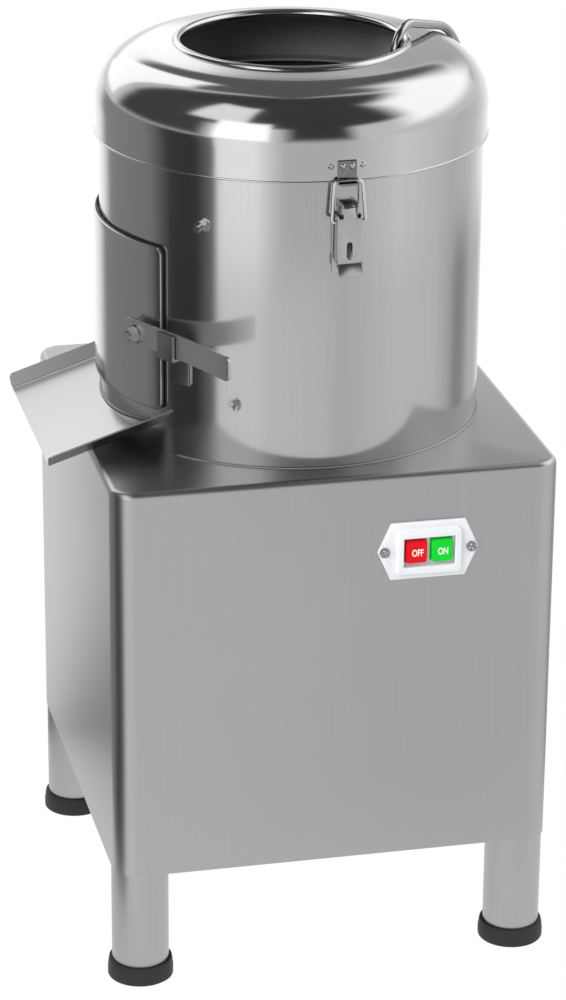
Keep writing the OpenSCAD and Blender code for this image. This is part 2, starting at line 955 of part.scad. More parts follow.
// Local frame of each latch, one at the front and one opposite
module at_latches() {
    for (turn = latch_sides)
        rotate([0, 0, latch_az + turn])
            children();
}

module skirt_core() {
    core(skirt_r);
    translate([0, 0, skirt_z + bead_r])
        rotate_extrude($fn = fine)
            translate([skirt_r + bead_r - bead_r * 1.2 - 0.2, 0])
                circle(bead_r);
}

module lid_keepers() {
    hook_u = drum_r + bail_u + bail_r + hook_room;
    low = pivot_z + bail_bar_z - bail_r - seat - 1.5;
    color(bright)
    difference() {
        at_latches() {
            translate([skirt_r - 2, -keeper_w / 2, low])
                cube([3.5, keeper_w, 20]);
            translate([skirt_r - 2, -keeper_w / 2, low])
                cube([hook_u + 1.2 - skirt_r + 2, keeper_w, 1.5]);
            translate([hook_u, -keeper_w / 2, low])
                cube([1.2, keeper_w, 1.5 + hook_lip]);
        }
        skirt_core();
        at_latches()
            for (y = [-4, 4])
                translate([0, y, low + 15])
                    peg(1.5 + slack, skirt_r - 4, skirt_r + 4);
    }
}

// Rivets of a keeper: two through its plate and one on each side of it
function keeper_rivet_y() = [-14, -4, 4, 14];
function keeper_rivet_z() = pivot_z + bail_bar_z - bail_r - seat - 1.5 + 15;

module keeper_rivet_holes(gap) {
    for (y = keeper_rivet_y())
        translate([0, y, keeper_rivet_z()])
            peg(1.5 + gap, skirt_r - 5, skirt_r + 4);
}

module keeper_rivets() {
    color(bright)
    at_latches()
        for (y = keeper_rivet_y())
            translate([0, y, keeper_rivet_z()]) {
                sag = abs(y) > 9 ? skirt_r - sqrt(pow(skirt_r, 2) - y * y) : -1.5;
                peg(1.5, skirt_r - lid_sheet - sag * 0.5 - 0.2, skirt_r - sag + 0.5);
                translate([skirt_r - sag + seat, 0, 0])
                    rotate([0, 90, 0])
                        cylinder(r1 = 2.4, r2 = 1.4, h = 1, $fn = 32);
            }
}

// Local frame of the pipe's upright plane: +X along the plane
module at_pipe_plane() {
    rotate([0, 0, pipe_heading])
        translate([0, -pipe_offset, 0])
            children();
}

// The pipe's path as a solid rod; long adds length at its two ends
module pipe_rod(r, long) {
    top_s = bend_s + pipe_bend * cos(pipe_turn);
    top_z = bend_z + pipe_bend * sin(pipe_turn);
    end_s = sweep_s + pipe_sweep * cos(pipe_turn);
    end_z = sweep_z + pipe_sweep * sin(pipe_turn);
    translate([pipe_in_s, 0, lip_top - pipe_drop - long])
        cylinder(r = r - trim, h = bend_z - lip_top + pipe_drop + long + bite);
    translate([bend_s, 0, bend_z])
        rotate([90, 0, 0])
            rotate([0, 0, pipe_turn])
                rotate_extrude(angle = 180 - pipe_turn)
                    translate([pipe_bend, 0])
                        circle(r);
    translate([top_s, 0, top_z])
        rotate([0, 180 - pipe_turn, 0])
            translate([0, 0, -bite])
                cylinder(r = r - trim, h = norm([end_s - top_s, end_z - top_z]) + 2 * bite);
    translate([sweep_s, 0, sweep_z])
        rotate([90, 0, 0])
            rotate_extrude(angle = pipe_turn)
                translate([pipe_sweep, 0])
                    circle(r);
    translate([pipe_out_s, 0, pipe_low - long])
        cylinder(r = r - trim, h = sweep_z - pipe_low + long + bite);
}

module water_pipe() {
    color(bright)
    at_pipe_plane()
        difference() {
            pipe_rod(pipe_r, 0);
            pipe_rod(pipe_r - pipe_wall, cut);
        }
}

function clip_z() = skirt_z + 14;

// Direction from the axis of the pipe's outer leg
function pipe_az() = atan2(pipe_out_s * sin(pipe_heading) - pipe_offset * cos(pipe_heading),
                           pipe_out_s * cos(pipe_heading) + pipe_offset * sin(pipe_heading));

module clip_rivet_hole() {
    rotate([0, 0, pipe_az() - pipe_heading])
        for (y = [-11, 11])
            translate([0, y, 0])
                peg(1.5 + slack, -14, 2);
}

module pipe_clip() {
    leg_r = norm([pipe_out_s, pipe_offset]);
    color(bright)
    difference() {
        rotate([0, 0, pipe_az()])
            translate([0, 0, clip_z() - 5]) {
                translate([leg_r, 0, 0])
                    cylinder(r = pipe_r + 1.5, h = 10);
                translate([skirt_r - 2, -15, 0])
                    cube([3.2, 30, 10]);
                translate([skirt_r - 2, -pipe_r - 1.5, 0])
                    cube([leg_r - skirt_r + 2, 2 * pipe_r + 3, 10]);
            }
        core(skirt_r);
        at_pipe_plane()
            translate([pipe_out_s, 0, clip_z() - 20]) {
                cylinder(r = pipe_r, h = 40);
                translate([0, 0, 20])
                    clip_rivet_hole();
            }
    }
}

module hose_tail() {
    bore_r = pipe_r - pipe_wall;
    color("#b08d3c")
    at_pipe_plane()
        translate([pipe_out_s, 0, pipe_low])
            rotate_extrude()
                difference() {
                    union() {
                        translate([0, -tail_len])
                            square([pipe_r, tail_len]);
                        translate([0, -8])
                            square([pipe_r + 1.6, 10]);
                    }
                    translate([-cut, -tail_len - cut])
                        square([bore_r + cut, tail_len + 4 + cut]);
                    square([pipe_r, 4]);
                }
}

// ---------- draw latches ----------

// Heights of the rivets that hold a latch's base
function rivet_heights() = [pivot_z - 20, pivot_z - 48];

module latch_bases() {
    top = 19.5;
    color(bright)
    difference() {
        at_latches()
            difference() {
                translate([drum_r, 0, pivot_z]) {
                    translate([-2, -latch_w / 2, top - latch_base_len])
                        cube([3.6, latch_w, latch_base_len]);
                    for (side = [-1, 1])
                        translate([0, side * ear_y, 0]) {
                            translate([0, -ear_t / 2, -6])
                                cube([latch_out, ear_t, 12]);
                            translate([latch_out, 0, 0])
                                rotate([90, 0, 0])
                                    cylinder(r = 6, h = ear_t, center = true);
                        }
                }
                translate([drum_r + latch_out, 0, pivot_z])
                    rotate([90, 0, 0])
                        cylinder(r = pin_r, h = 60, center = true);
                for (z = rivet_heights())
                    translate([0, 0, z])
                        peg(2 + slack, drum_in_r - cut, drum_r + 5);
            }
        core(drum_r);
    }
}

// Pivot pins with round heads, and the two rivets of each base
module latch_rivets() {
    color(bright)
    at_latches() {
        translate([drum_r + latch_out, 0, pivot_z])
            rotate([90, 0, 0]) {
                cylinder(r = pin_r, h = 2 * ear_y + ear_t, center = true);
                for (side = [-1, 1])
                    translate([0, 0, side * (ear_y + ear_t / 2 + 0.25)])
                        cylinder(r = pin_r + 0.8, h = 0.5, center = true);
            }
        for (z = rivet_heights())
            translate([0, 0, z]) {
                peg(2, drum_in_r, drum_r + 1.8);
                peg(3.4, drum_r + 1.6, drum_r + 2.8);
            }
    }
}

// One lever: a curl round the pin, a channel and a flared end
module latch_lever() {
    web_u = 2.7;
    web_t = 1.5;
    curl_r = web_u + web_t;
    flare = 13;
    flange_top = -5;
    web_top = -7.5;
    straight = latch_len - flare;
    color(bright)
    translate([drum_r + latch_out, 0, pivot_z])
        difference() {
            union() {
                rotate([90, 0, 0])
                    cylinder(r = curl_r, h = curl_w, center = true);
                translate([web_u, -curl_w / 2, -straight])
                    cube([web_t, curl_w, straight]);
                translate([web_u, -channel_w / 2, -straight])
                    cube([web_t, channel_w, straight + web_top]);
                translate([web_u, 0, -straight])
                    rotate([0, 180 - 25, 0])
                        translate([-web_t, 0, -0.4])
                            rotate([90, 0, 90])
                                linear_extrude(web_t)
                                    translate([0, flare / 2])
                                        round_rect(channel_w, flare, 4);
                translate([web_u, -channel_w / 2, -straight - 3])
                    cube([web_t, channel_w, 5]);
                for (side = [-1, 1])
                    translate([-5, side * (channel_w - web_t) / 2 - web_t / 2, -straight + 2])
                        cube([web_u + web_t + 5, web_t, straight + flange_top - 2]);
            }
            rotate([90, 0, 0])
                cylinder(r = pin_r + run_gap, h = latch_w + 4, center = true);
            translate([0, 0, bail_low])
                rotate([90, 0, 0])
                    cylinder(r = bail_r + run_gap, h = latch_w + 4, center = true);
            translate([0, 0, -36])
                rotate([90, 0, 90])
                    linear_extrude(20)
                        round_rect(5, 15, 2.4);
        }
}

module latch_bail() {
    wide = channel_w / 2 + 4;
    narrow = wide - 2.2;
    low = [latch_out - bail_u, 0, bail_low];
    high = [0, 0, bail_bar_z];
    color(bright)
    translate([drum_r + bail_u, 0, pivot_z]) {
        for (side = [-1, 1]) {
            wire(low + [0, side * (channel_w / 2 - 3), 0], low + [0, side * wide, 0], bail_r);
            wire(low + [0, side * wide, 0], high + [0, side * narrow, -3], bail_r);
            wire(high + [0, side * narrow, -3], high + [0, side * (narrow - 3), 0], bail_r);
        }
        wire(high - [0, narrow - 3, 0], high + [0, narrow - 3, 0], bail_r);
    }
}

module latch_lever_front() {
    rotate([0, 0, latch_az])
        latch_lever();
}

module latch_lever_rear() {
    rotate([0, 0, latch_az + 180])
        latch_lever();
}

module latch_bail_front() {
    rotate([0, 0, latch_az])
        latch_bail();
}

module latch_bail_rear() {
    rotate([0, 0, latch_az + 180])
        latch_bail();
}

// ---------- disc, spindle and bearings ----------

module abrasive_disc() {
    vane_low = cab_z + floor_t + 3;
    ridge_r = 26;
    color("#45413c")
    difference() {
        union() {
            translate([0, 0, disc_z - disc_t])
                cylinder(r = disc_r, h = disc_t);
            intersection() {
                for (i = [0:ridge_count - 1])
                    rotate([0, 0, i * 360 / ridge_count + 20])
                        translate([40, 0, disc_z + ridge_h - ridge_r])
                            rotate([0, 90, 0])
                                cylinder(r = ridge_r, h = disc_r);
                translate([0, 0, disc_z - disc_t])
                    cylinder(r = disc_r - 6, h = disc_t + ridge_h);
            }
            translate([0, 0, hub_z])
                cylinder(r = neck_r + 2, h = disc_z - hub_z);
            translate([0, 0, neck_top - 4])
                ring(neck_r + 6, neck_r + 2, disc_z - neck_top);
            for (i = [0:2])
                rotate([0, 0, i * 120])
                    translate([housing_bolt_r + 14, -2.5, vane_low])
                        cube([disc_r - housing_bolt_r - 24, 5, disc_z - disc_t - vane_low + cut]);
        }
        translate([0, 0, hub_z - cut])
            cylinder(r = spindle_top_r, h = 60);
        translate([0, 0, hub_z - 20])
            cylinder(r = neck_r + 2, h = 20);
    }
}

module disc_cap_nut() {
    color(bright)
    translate([0, 0, disc_z]) {
        difference() {
            union() {
                cylinder(r = 18, h = 3);
                translate([0, 0, 3])
                    cylinder(r = 15 / cos(30), h = 9, $fn = 6);
                translate([0, 0, 12])
                    intersection() {
                        sphere(r = 14);
                        cylinder(r = 14, h = 14);
                    }
            }
            translate([0, 0, -cut])
                cylinder(r = spindle_top_r, h = 12 + cut);
        }
    }
}

module spindle() {
    end_z = belt_z - pulley_w / 2 - 9;
    seat_z = belt_z + pulley_w / 2 + hub_up;
    color("#9a9da1") {
        translate([0, 0, seat_z])
            cylinder(r = spindle_r, h = hub_z - seat_z);
        translate([0, 0, end_z])
            cylinder(r = spindle_top_r, h = disc_z + 10 - end_z);
    }
}

module bearing_housing() {
    shoulder_r = bearing_r - 4;
    top_seat = neck_top - 31;
    color("#5d6166")
    translate([0, 0, 0])
        difference() {
            union() {
                translate([0, 0, housing_z])
                    cylinder(r = housing_r, h = housing_len);
                translate([0, 0, flange_z])
                    cylinder(r = flange_r, h = flange_t);
                translate([0, 0, flange_z])
                    cylinder(r = neck_r, h = neck_top - flange_z);
                for (a = [0:90:270])
                    rotate([0, 0, a])
                        translate([housing_r - 3, -4, flange_z - 45])
                            rotate([-90, 0, 0])
                                linear_extrude(8)
                                    polygon([[0, 0], [0, -46], [30, -46]]);
            }
            translate([0, 0, housing_z - cut])
                cylinder(r = shoulder_r, h = neck_top - housing_z + 2 * cut);
            translate([0, 0, housing_z - cut])
                cylinder(r = bearing_r, h = bearing_w + cut);
            translate([0, 0, top_seat])
                cylinder(r = bearing_r, h = 40);
            for (a = [45:90:315])
                rotate([0, 0, a])
                    translate([housing_bolt_r, 0, flange_z - 5])
                        cylinder(r = 4 + slack, h = 30);
        }
}

// Hex bolts of the housing's flange, with nuts below
module housing_bolts() {
    color(bright)
    for (a = [45:90:315])
        rotate([0, 0, a])
            translate([housing_bolt_r, 0, 0]) {
                translate([0, 0, cab_z + floor_t])
                    cylinder(r = 6.5 / cos(30), h = 4, $fn = 6);
                translate([0, 0, flange_z - 10])
                    cylinder(r = 4, h = flange_t + cab_sheet + floor_t + 10.5);
                difference() {
                    translate([0, 0, flange_z - 6.5])
                        cylinder(r = 6.5 / cos(30), h = 6.5, $fn = 6);
                    translate([0, 0, flange_z - 12])
                        cylinder(r = 4 + slack, h = 20);
                }
            }
}

// Deep groove ball bearing as a closed ring with a recess at each face
module bearing() {
    mid = (bearing_r + spindle_r) / 2;
    difference() {
        ring(bearing_r, spindle_r + run_gap, bearing_w);
        for (z = [-cut, bearing_w - 0.8])
            translate([0, 0, z])
                ring(mid + 4, mid - 4, cut + 0.8);
    }
}

module bearing_upper() {
    color("#c9cccf")
    translate([0, 0, neck_top - 31])
        bearing();
}

module bearing_lower() {
    color("#c9cccf")
    translate([0, 0, housing_z])
        bearing();
}

module shaft_seal() {
    color("#232527")
    translate([0, 0, neck_top - 9])
        difference() {
            ring(bearing_r, spindle_r + run_gap, 8);
            translate([0, 0, -cut])
                ring(bearing_r - 3, spindle_r + 3, 4 + cut);
        }
}

// ---------- belt drive ----------

// Cross-section of the belt: outer edge at x = 0, inner edge at x = -belt_t
module belt_section(less) {
    slope = (belt_t - 2 * less) * tan(19);
    half = belt_w / 2 - 2 * less;
    polygon([[-less, half], [-less, -half], [less - belt_t, slope - half], [less - belt_t, half - slope]]);
}

// Outline of a V-belt pulley's rim in section, with its groove
module pulley_rim(r, depth, bore_r, w) {
    slope = tan(19);
    gap = 0.35;
    top = belt_w / 2 + gap + belt_in * slope;
    low = top - (belt_t + 2.5) * slope;
    difference() {
        translate([bore_r, -w / 2])
            square([r - bore_r, w]);
        polygon([[r + cut, top + cut * slope], [r + cut, -top - cut * slope], [r - belt_t - 2.5, -low],
                 [r - belt_t - 2.5, low]]);
    }
}

module driven_pulley() {
    holes = 5;
    hub_r = 22;
    color("#6d7176")
    translate([0, 0, belt_z])
        difference() {
            union() {
                rotate_extrude()
                    pulley_rim(big_r, 10, big_r - 18, pulley_w);
                translate([0, 0, -3.5])
                    ring(big_r - 17, spindle_top_r, 7);
                translate([0, 0, -pulley_w / 2 - 2])
                    ring(hub_r, spindle_top_r, pulley_w + 2 + hub_up);
            }
            for (i = [0:holes - 1])
                rotate([0, 0, i * 360 / holes])
                    translate([(big_r - 17 + hub_r) / 2, 0, -10])
                        cylinder(r = 15, h = 20);
        }
}

module at_motor() {
    translate([motor_at, motor_at, 0])
        children();
}

module motor_pulley() {
    color("#6d7176")
    at_motor()
        translate([0, 0, belt_z])
            rotate_extrude()
                pulley_rim(small_r, 10, shaft_r, pulley_w);
}

module drive_belt() {
    big_out = big_r - belt_in;
    small_out = small_r - belt_in;
    run = sqrt(pow(centre_d, 2) - pow(big_out - small_out, 2));
    color("#1c1d1f")
    translate([0, 0, belt_z])
        rotate([0, 0, 45]) {
            rotate([0, 0, wrap])
                rotate_extrude(angle = 360 - 2 * wrap)
                    translate([big_out, 0])
                        belt_section(0);
            translate([centre_d, 0, 0])
                rotate([0, 0, -wrap])
                    rotate_extrude(angle = 2 * wrap)
                        translate([small_out, 0])
                            belt_section(0);
            for (side = [0, 1])
                mirror([0, side, 0])
                    rotate([0, 0, wrap])
                        translate([big_out, bite, 0])
                            rotate([90, 0, 0])
                                linear_extrude(run + 2 * bite)
                                    belt_section(trim);
        }
}

// ---------- motor ----------

// Two box rails: the front one between the side walls, the rear one on the rear wall's lips
module motor_rails() {
    color(dark_steel)
    for (rail = [[rail_front, cab_w - 2 * cab_sheet], [rail_rear, cab_w - 2 * cab_corner_r]])
        translate([0, rail[0] + rail_w / 2, rail_z + rail_h / 2])
            rotate([0, 90, 0])
                difference() {
                    cube([rail_h, rail_w, rail[1]], center = true);
                    cube([rail_h - 4, rail_w - 4, cab_w], center = true);
                }
}

module motor_plate() {
    color(dark_steel)
    difference() {
        translate([motor_at - motor_r - fin_h, rail_front, plate_z])
            cube([motor_d + 2 * fin_h, rail_rear + rail_w / 2 - rail_front, plate_t]);
        at_motor()
            translate([0, 0, plate_z - cut])
                cylinder(r = 40, h = plate_t + 2 * cut);
        motor_bolt_holes(slack);
    }
}

module motor_bolt_holes(gap) {
    at_motor()
        for (a = [0:90:270])
            rotate([0, 0, a])
                translate([50, 0, motor_top - 9])
                    cylinder(r = 3 + gap, h = 20);
}

module motor_bolts() {
    color(bright)
    at_motor()
        for (a = [0:90:270])
            rotate([0, 0, a])
                translate([50, 0, 0]) {
                    translate([0, 0, plate_z + plate_t])
                        cylinder(r = 5 / cos(30), h = 4, $fn = 6);
                    translate([0, 0, motor_top - 8])
                        cylinder(r = 3, h = plate_t + 8.5);
                }
}

module motor_housing() {
    fins = 28;
    color("#4e5a63")
    at_motor()
        translate([0, 0, body_low])
            difference() {
                union() {
                    cylinder(r = motor_r, h = motor_len);
                    for (i = [0:fins - 1])
                        rotate([0, 0, i * 360 / fins])
                            translate([motor_r - 2, -1.1, 4])
                                cube([fin_h + 2, 2.2, motor_len - 8]);
                }
                translate([0, 0, -cut])
                    cylinder(r = motor_r - 5, h = motor_len + 2 * cut);
            }
}

module motor_end_shields() {
    color("#4e5a63")
    at_motor() {
        translate([0, 0, body_top])
            difference() {
                union() {
                    cylinder(r = motor_r + 2, h = shield_t);
                    cylinder(r = 40 - slack, h = shield_t + 3);
                }
                translate([0, 0, -cut])
                    cylinder(r = shaft_r + run_gap, h = shield_t + 10);
                translate([0, 0, shield_t - 9])
                    for (a = [0:90:270])
                        rotate([0, 0, a])
                            translate([50, 0, 0])
                                cylinder(r = 3 + slack, h = 20);
            }
        translate([0, 0, body_low - shield_t])
            difference() {
                cylinder(r = motor_r + 2, h = shield_t);
                translate([0, 0, -cut])
                    cylinder(r = shaft_r + run_gap, h = shield_t + 2 * cut);
            }
    }
}

// Laminated ring with slots, and the winding's heads above and below
module motor_stator() {
    stack = motor_len - 50;
    slots = 24;
    color("#8a5a3a")
    at_motor()
        translate([0, 0, body_low + 25])
            difference() {
                union() {
                    cylinder(r = motor_r - 5, h = stack);
                    translate([0, 0, -16])
                        cylinder(r = motor_r - 9, h = stack + 32);
                }
                translate([0, 0, -20])
                    cylinder(r = 38, h = stack + 40);
                for (i = [0:slots - 1])
                    rotate([0, 0, i * 360 / slots])
                        translate([37, -1, -1])
                            cube([8, 2, stack + 2]);
            }
}

module motor_rotor() {
    stack = motor_len - 50;
    color("#9a9da1")
    at_motor() {
        translate([0, 0, fan_z - 6])
            cylinder(r = shaft_r, h = belt_z + pulley_w / 2 + 4 - fan_z + 6);
        translate([0, 0, body_low + 25])
            cylinder(r = 37.5, h = stack);
        translate([0, 0, body_low + 19])
            cylinder(r = 34, h = stack + 12);
    }
}

module motor_fan() {
    blades = 8;
    color("#23262a")
    at_motor()
        translate([0, 0, fan_z - 5])
            difference() {
                union() {
                    cylinder(r = 18, h = 14);
                    cylinder(r = 52, h = 2);
                    for (i = [0:blades - 1])
                        rotate([0, 0, i * 360 / blades])
                            translate([14, -1, 0])
                                cube([40, 2, 13]);
                }
                translate([0, 0, -cut])
                    cylinder(r = shaft_r, h = 20);
            }
}

module fan_cover() {
    color("#4e5a63")
    at_motor()
        translate([0, 0, body_low - cover_h])
            difference() {
                cylinder(r = motor_r + 4, h = cover_h);
                translate([0, 0, 1.5])
                    cylinder(r = motor_r + 2.1, h = cover_h);
                for (i = [0:5])
                    ring_slots(18 + i * 7);
            }
}

// One circle of air slots in the fan's cover
module ring_slots(r) {
    difference() {
        translate([0, 0, -cut])
            ring(r + 3.5, r, 4);
        for (a = [0, 60, 120])
            rotate([0, 0, a])
                cube([200, 6, 20], center = true);
    }
}

module terminal_box() {
    color("#4e5a63")
    at_motor()
        translate([-motor_r - fin_h - 34, -32, body_low + 30])
            difference() {
                cube([34, 64, 74]);
                translate([2.5, 2.5, 2.5])
                    cube([40, 59, 69]);
            }
}

module run_capacitor() {
    can_r = 19;
    color("#cfd1cf")
    at_motor()
        translate([0, -motor_r - fin_h - can_r - seat, body_low + 12]) {
            cylinder(r = can_r, h = 78);
            translate([0, 0, 78])
                cylinder(r = can_r - 2, h = 4);
            for (x = [-6, 6])
                translate([x - 0.4, -3, 82])
                    cube([0.8, 6, 9]);
        }
}

// ---------- drain and cable inlet ----------

module drain_rod(r, long) {
    translate([drain_x, drain_y, drain_turn_z])
        cylinder(r = r, h = cab_z + floor_t - drain_turn_z + long);
    translate([drain_x, drain_y + drain_bend, drain_turn_z])
        rotate([0, 0, 90])
            rotate([90, 0, 0])
                rotate([0, 0, 180])
                    rotate_extrude(angle = 90)
                        translate([drain_bend, 0])
                            circle(r);
    translate([drain_x, drain_y + drain_bend, drain_turn_z - drain_bend])
        rotate([-90, 0, 0])
            cylinder(r = r, h = back_y + drain_out - drain_y - drain_bend + long);
}

module drain_elbow() {
    free_y = back_y + panel_t + 2;
    color(steel)
    difference() {
        union() {
            drain_rod(drain_r, 0);
            translate([drain_x, free_y, drain_turn_z - drain_bend])
                rotate([-90, 0, 0])
                    cylinder(r = drain_r + 1, h = back_y + drain_out - free_y);
        }
        drain_rod(drain_r - 1.5, cut);
    }
}

module cable_gland() {
    color("#2b2d30")
    translate([gland_x, back_y, gland_z])
        rotate([-90, 0, 0])
            difference() {
                union() {
                    translate([0, 0, -8])
                        cylinder(r = gland_r, h = 14);
                    translate([0, 0, panel_t])
                        cylinder(r = gland_r + 4, h = 6, $fn = 6);
                    translate([0, 0, panel_t + 6])
                        cylinder(r = gland_r + 2.5, h = 10);
                    translate([0, 0, -5])
                        cylinder(r = gland_r + 4, h = 5, $fn = 6);
                }
                translate([0, 0, -20])
                    cylinder(r = gland_bore_r, h = 60);
            }
}

// ---------- switch ----------

// Local frame of the switch: +Z towards the person who stands in front
module at_switch() {
    translate([switch_x, front_y, switch_z])
        rotate([90, 0, 0])
            children();
}

module switch_plate() {
    half_w = switch_w / 2;
    half_f = switch_flat / 2;
    half_h = switch_h / 2;
    color("#e9e9ea")
    at_switch()
        difference() {
            union() {
                linear_extrude(switch_plate_t)
                    polygon([[-half_w, 0], [-half_f, -half_h], [half_f, -half_h], [half_w, 0],
                             [half_f, half_h], [-half_f, half_h]]);
                linear_extrude(switch_rise)
                    round_rect(frame_w + 3, frame_h + 3, 2.5);
                translate([0, 0, -40])
                    linear_extrude(41)
                        square([frame_w - 1, frame_h - 1], center = true);
            }
            translate([0, 0, switch_plate_t])
                linear_extrude(60)
                    square([window_w, window_h], center = true);
            for (x = [-1, 1])
                translate([x * button_gap / 2, 0, -34])
                    linear_extrude(60)
                        square([button_w + 2 * seat, button_h + 2 * seat], center = true);
            for (x = [-1, 1])
                translate([x * switch_screw_x(), 0, -cut])
                    cylinder(r = 2 + slack, h = 10);
        }
    color(bright)
    at_switch()
        for (x = [-1, 1])
            translate([x * switch_screw_x(), 0, switch_plate_t])
                rotate([0, 0, 30])
                    pan_screw(4, 7.5, 2, 10);
}

module button(x, colour) {
    color(colour)
    at_switch()
        translate([x, 0, -20]) {
            linear_extrude(20 + switch_rise - 2)
                round_rect(button_w, button_h, 2);
            linear_extrude(20 + switch_rise - 1.2)
                round_rect(button_w - 1.6, button_h - 1.6, 1.6);
        }
}

module button_off() {
    button(-button_gap / 2, "#c81e2b");
}

module button_on() {
    button(button_gap / 2, "#1fa44b");
}

cabinet_shell();
back_panel();
back_panel_screws();
legs();
foot_caps();
drum();
drum_floor();
abrasive_liner();
liner_bolts();
chute();
door();
door_seal();
door_hinge_leaf();
drum_hinge_leaf();
hinge_pin();
door_lever();
lever_bolt();
lever_nut();
lever_catch();
lid();
lid_seat_ring();
lid_gasket();
lid_keepers();
keeper_rivets();
water_pipe();
pipe_clip();
hose_tail();
latch_bases();
latch_rivets();
latch_lever_front();
latch_lever_rear();
latch_bail_front();
latch_bail_rear();
abrasive_disc();
disc_cap_nut();
spindle();
bearing_housing();
housing_bolts();
bearing_upper();
bearing_lower();
shaft_seal();
driven_pulley();
drive_belt();
motor_plate();
motor_rails();
motor_bolts();
motor_housing();
motor_end_shields();
motor_stator();
motor_rotor();
motor_fan();
fan_cover();
motor_pulley();
terminal_box();
run_capacitor();
drain_elbow();
cable_gland();
switch_plate();
button_off();
button_on();
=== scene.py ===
import math

import bmesh
import bpy
import numpy as np
from mathutils import Matrix, Vector


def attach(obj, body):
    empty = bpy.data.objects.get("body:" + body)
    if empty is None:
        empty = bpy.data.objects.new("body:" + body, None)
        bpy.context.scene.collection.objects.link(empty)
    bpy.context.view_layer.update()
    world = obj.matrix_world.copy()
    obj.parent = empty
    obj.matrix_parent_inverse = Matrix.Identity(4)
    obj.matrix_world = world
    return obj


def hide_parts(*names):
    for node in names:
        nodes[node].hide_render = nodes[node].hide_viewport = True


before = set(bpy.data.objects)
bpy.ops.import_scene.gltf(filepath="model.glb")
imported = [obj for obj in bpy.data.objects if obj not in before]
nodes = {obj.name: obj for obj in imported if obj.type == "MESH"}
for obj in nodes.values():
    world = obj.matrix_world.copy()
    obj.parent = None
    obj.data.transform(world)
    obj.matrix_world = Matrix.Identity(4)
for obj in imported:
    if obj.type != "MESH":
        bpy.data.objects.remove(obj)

mm = 0.001
scene = bpy.context.scene
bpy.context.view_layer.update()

cameraSetup = {
    "place": (-0.702009, -3.004095, 1.604710),      # metres
    "yaw": 13.070,        # degrees from the rear towards the right
    "pitch": 21.674,      # degrees down
    "roll": 0.467,        # degrees
    "lens": 129.363,      # millimetres, on the sensor's width
    "sensor": 36.0,
    "clip": (0.1, 60.0),
}


# Camera: level axes turned by yaw and pitch, then rolled; it looks along its own -Z
def makeCamera(setup):
    yaw, pitch, roll = (math.radians(setup[word]) for word in ("yaw", "pitch", "roll"))
    ahead = Vector((math.sin(yaw) * math.cos(pitch), math.cos(yaw) * math.cos(pitch), -math.sin(pitch)))
    side = Vector((math.cos(yaw), -math.sin(yaw), 0.0))
    up = side.cross(ahead)
    sideRolled = side * math.cos(roll) + up * math.sin(roll)
    upRolled = up * math.cos(roll) - side * math.sin(roll)
    data = bpy.data.cameras.new("photoCamera")
    data.lens, data.sensor_width = setup["lens"], setup["sensor"]
    data.sensor_fit = "AUTO"
    data.clip_start, data.clip_end = setup["clip"]
    camera = bpy.data.objects.new("photoCamera", data)
    turn = Matrix((sideRolled, upRolled, -ahead)).transposed().to_4x4()
    camera.matrix_world = Matrix.Translation(setup["place"]) @ turn
    scene.collection.objects.link(camera)
    scene.camera = camera


makeCamera(cameraSetup)
scene.view_settings.view_transform = "Standard"
print("camera set")


# A number is set on a socket, anything else is linked to it
def feed(tree, value, socket):
    if isinstance(value, (int, float)):
        socket.default_value = value
    else:
        tree.links.new(value, socket)


def mathNode(tree, how, a, b):
    node = tree.nodes.new("ShaderNodeMath")
    node.operation = how
    feed(tree, a, node.inputs[0])
    feed(tree, b, node.inputs[1])
    return node.outputs[0]


# Noise moved down to lie about zero, and the same noise as it comes
def noiseNode(tree, vector, scale, detail):
    noise = tree.nodes.new("ShaderNodeTexNoise")
    noise.inputs["Detail"].default_value = detail
    tree.links.new(vector, noise.inputs["Vector"])
    feed(tree, scale, noise.inputs["Scale"])
    return mathNode(tree, "SUBTRACT", noise.outputs["Fac"], 0.5), noise.outputs["Fac"]


# A new group with its inputs, their first values, and its three outputs
def newSkin(name, inputs):
    tree = bpy.data.node_groups.new(name, "ShaderNodeTree")
    for word, kind, value in inputs:
        socket = tree.interface.new_socket(name=word, in_out="INPUT", socket_type="NodeSocket" + kind)
        socket.default_value = value
    for word, kind in (("Colour", "Color"), ("Roughness", "Float"), ("Height", "Float")):
        tree.interface.new_socket(name=word, in_out="OUTPUT", socket_type="NodeSocket" + kind)
    coords = tree.nodes.new("ShaderNodeTexCoord")
    return tree, tree.nodes.new("NodeGroupInput"), coords.outputs["Object"]


# Colour is the tint times one plus the change, roughness grows by a share of it, and the noise is the height
def finishSkin(tree, groupIn, change, roughShare, height):
    groupOut = tree.nodes.new("NodeGroupOutput")
    tint = tree.nodes.new("ShaderNodeVectorMath")
    tint.operation = "SCALE"
    tree.links.new(groupIn.outputs["Tint"], tint.inputs[0])
    tree.links.new(mathNode(tree, "ADD", change, 1.0), tint.inputs["Scale"])
    more = mathNode(tree, "MULTIPLY", change, roughShare)
    rough = mathNode(tree, "ADD", more, groupIn.outputs["Base Roughness"])
    tree.links.new(tint.outputs[0], groupOut.inputs["Colour"])
    tree.links.new(rough, groupOut.inputs["Roughness"])
    tree.links.new(height, groupOut.inputs["Height"])
    return tree


brushedSkin = {"lineDetail": 3.0, "blotchScale": 6.0, "blotchDetail": 2.0, "blotchDepth": 0.06,
               "roughShare": 0.5}


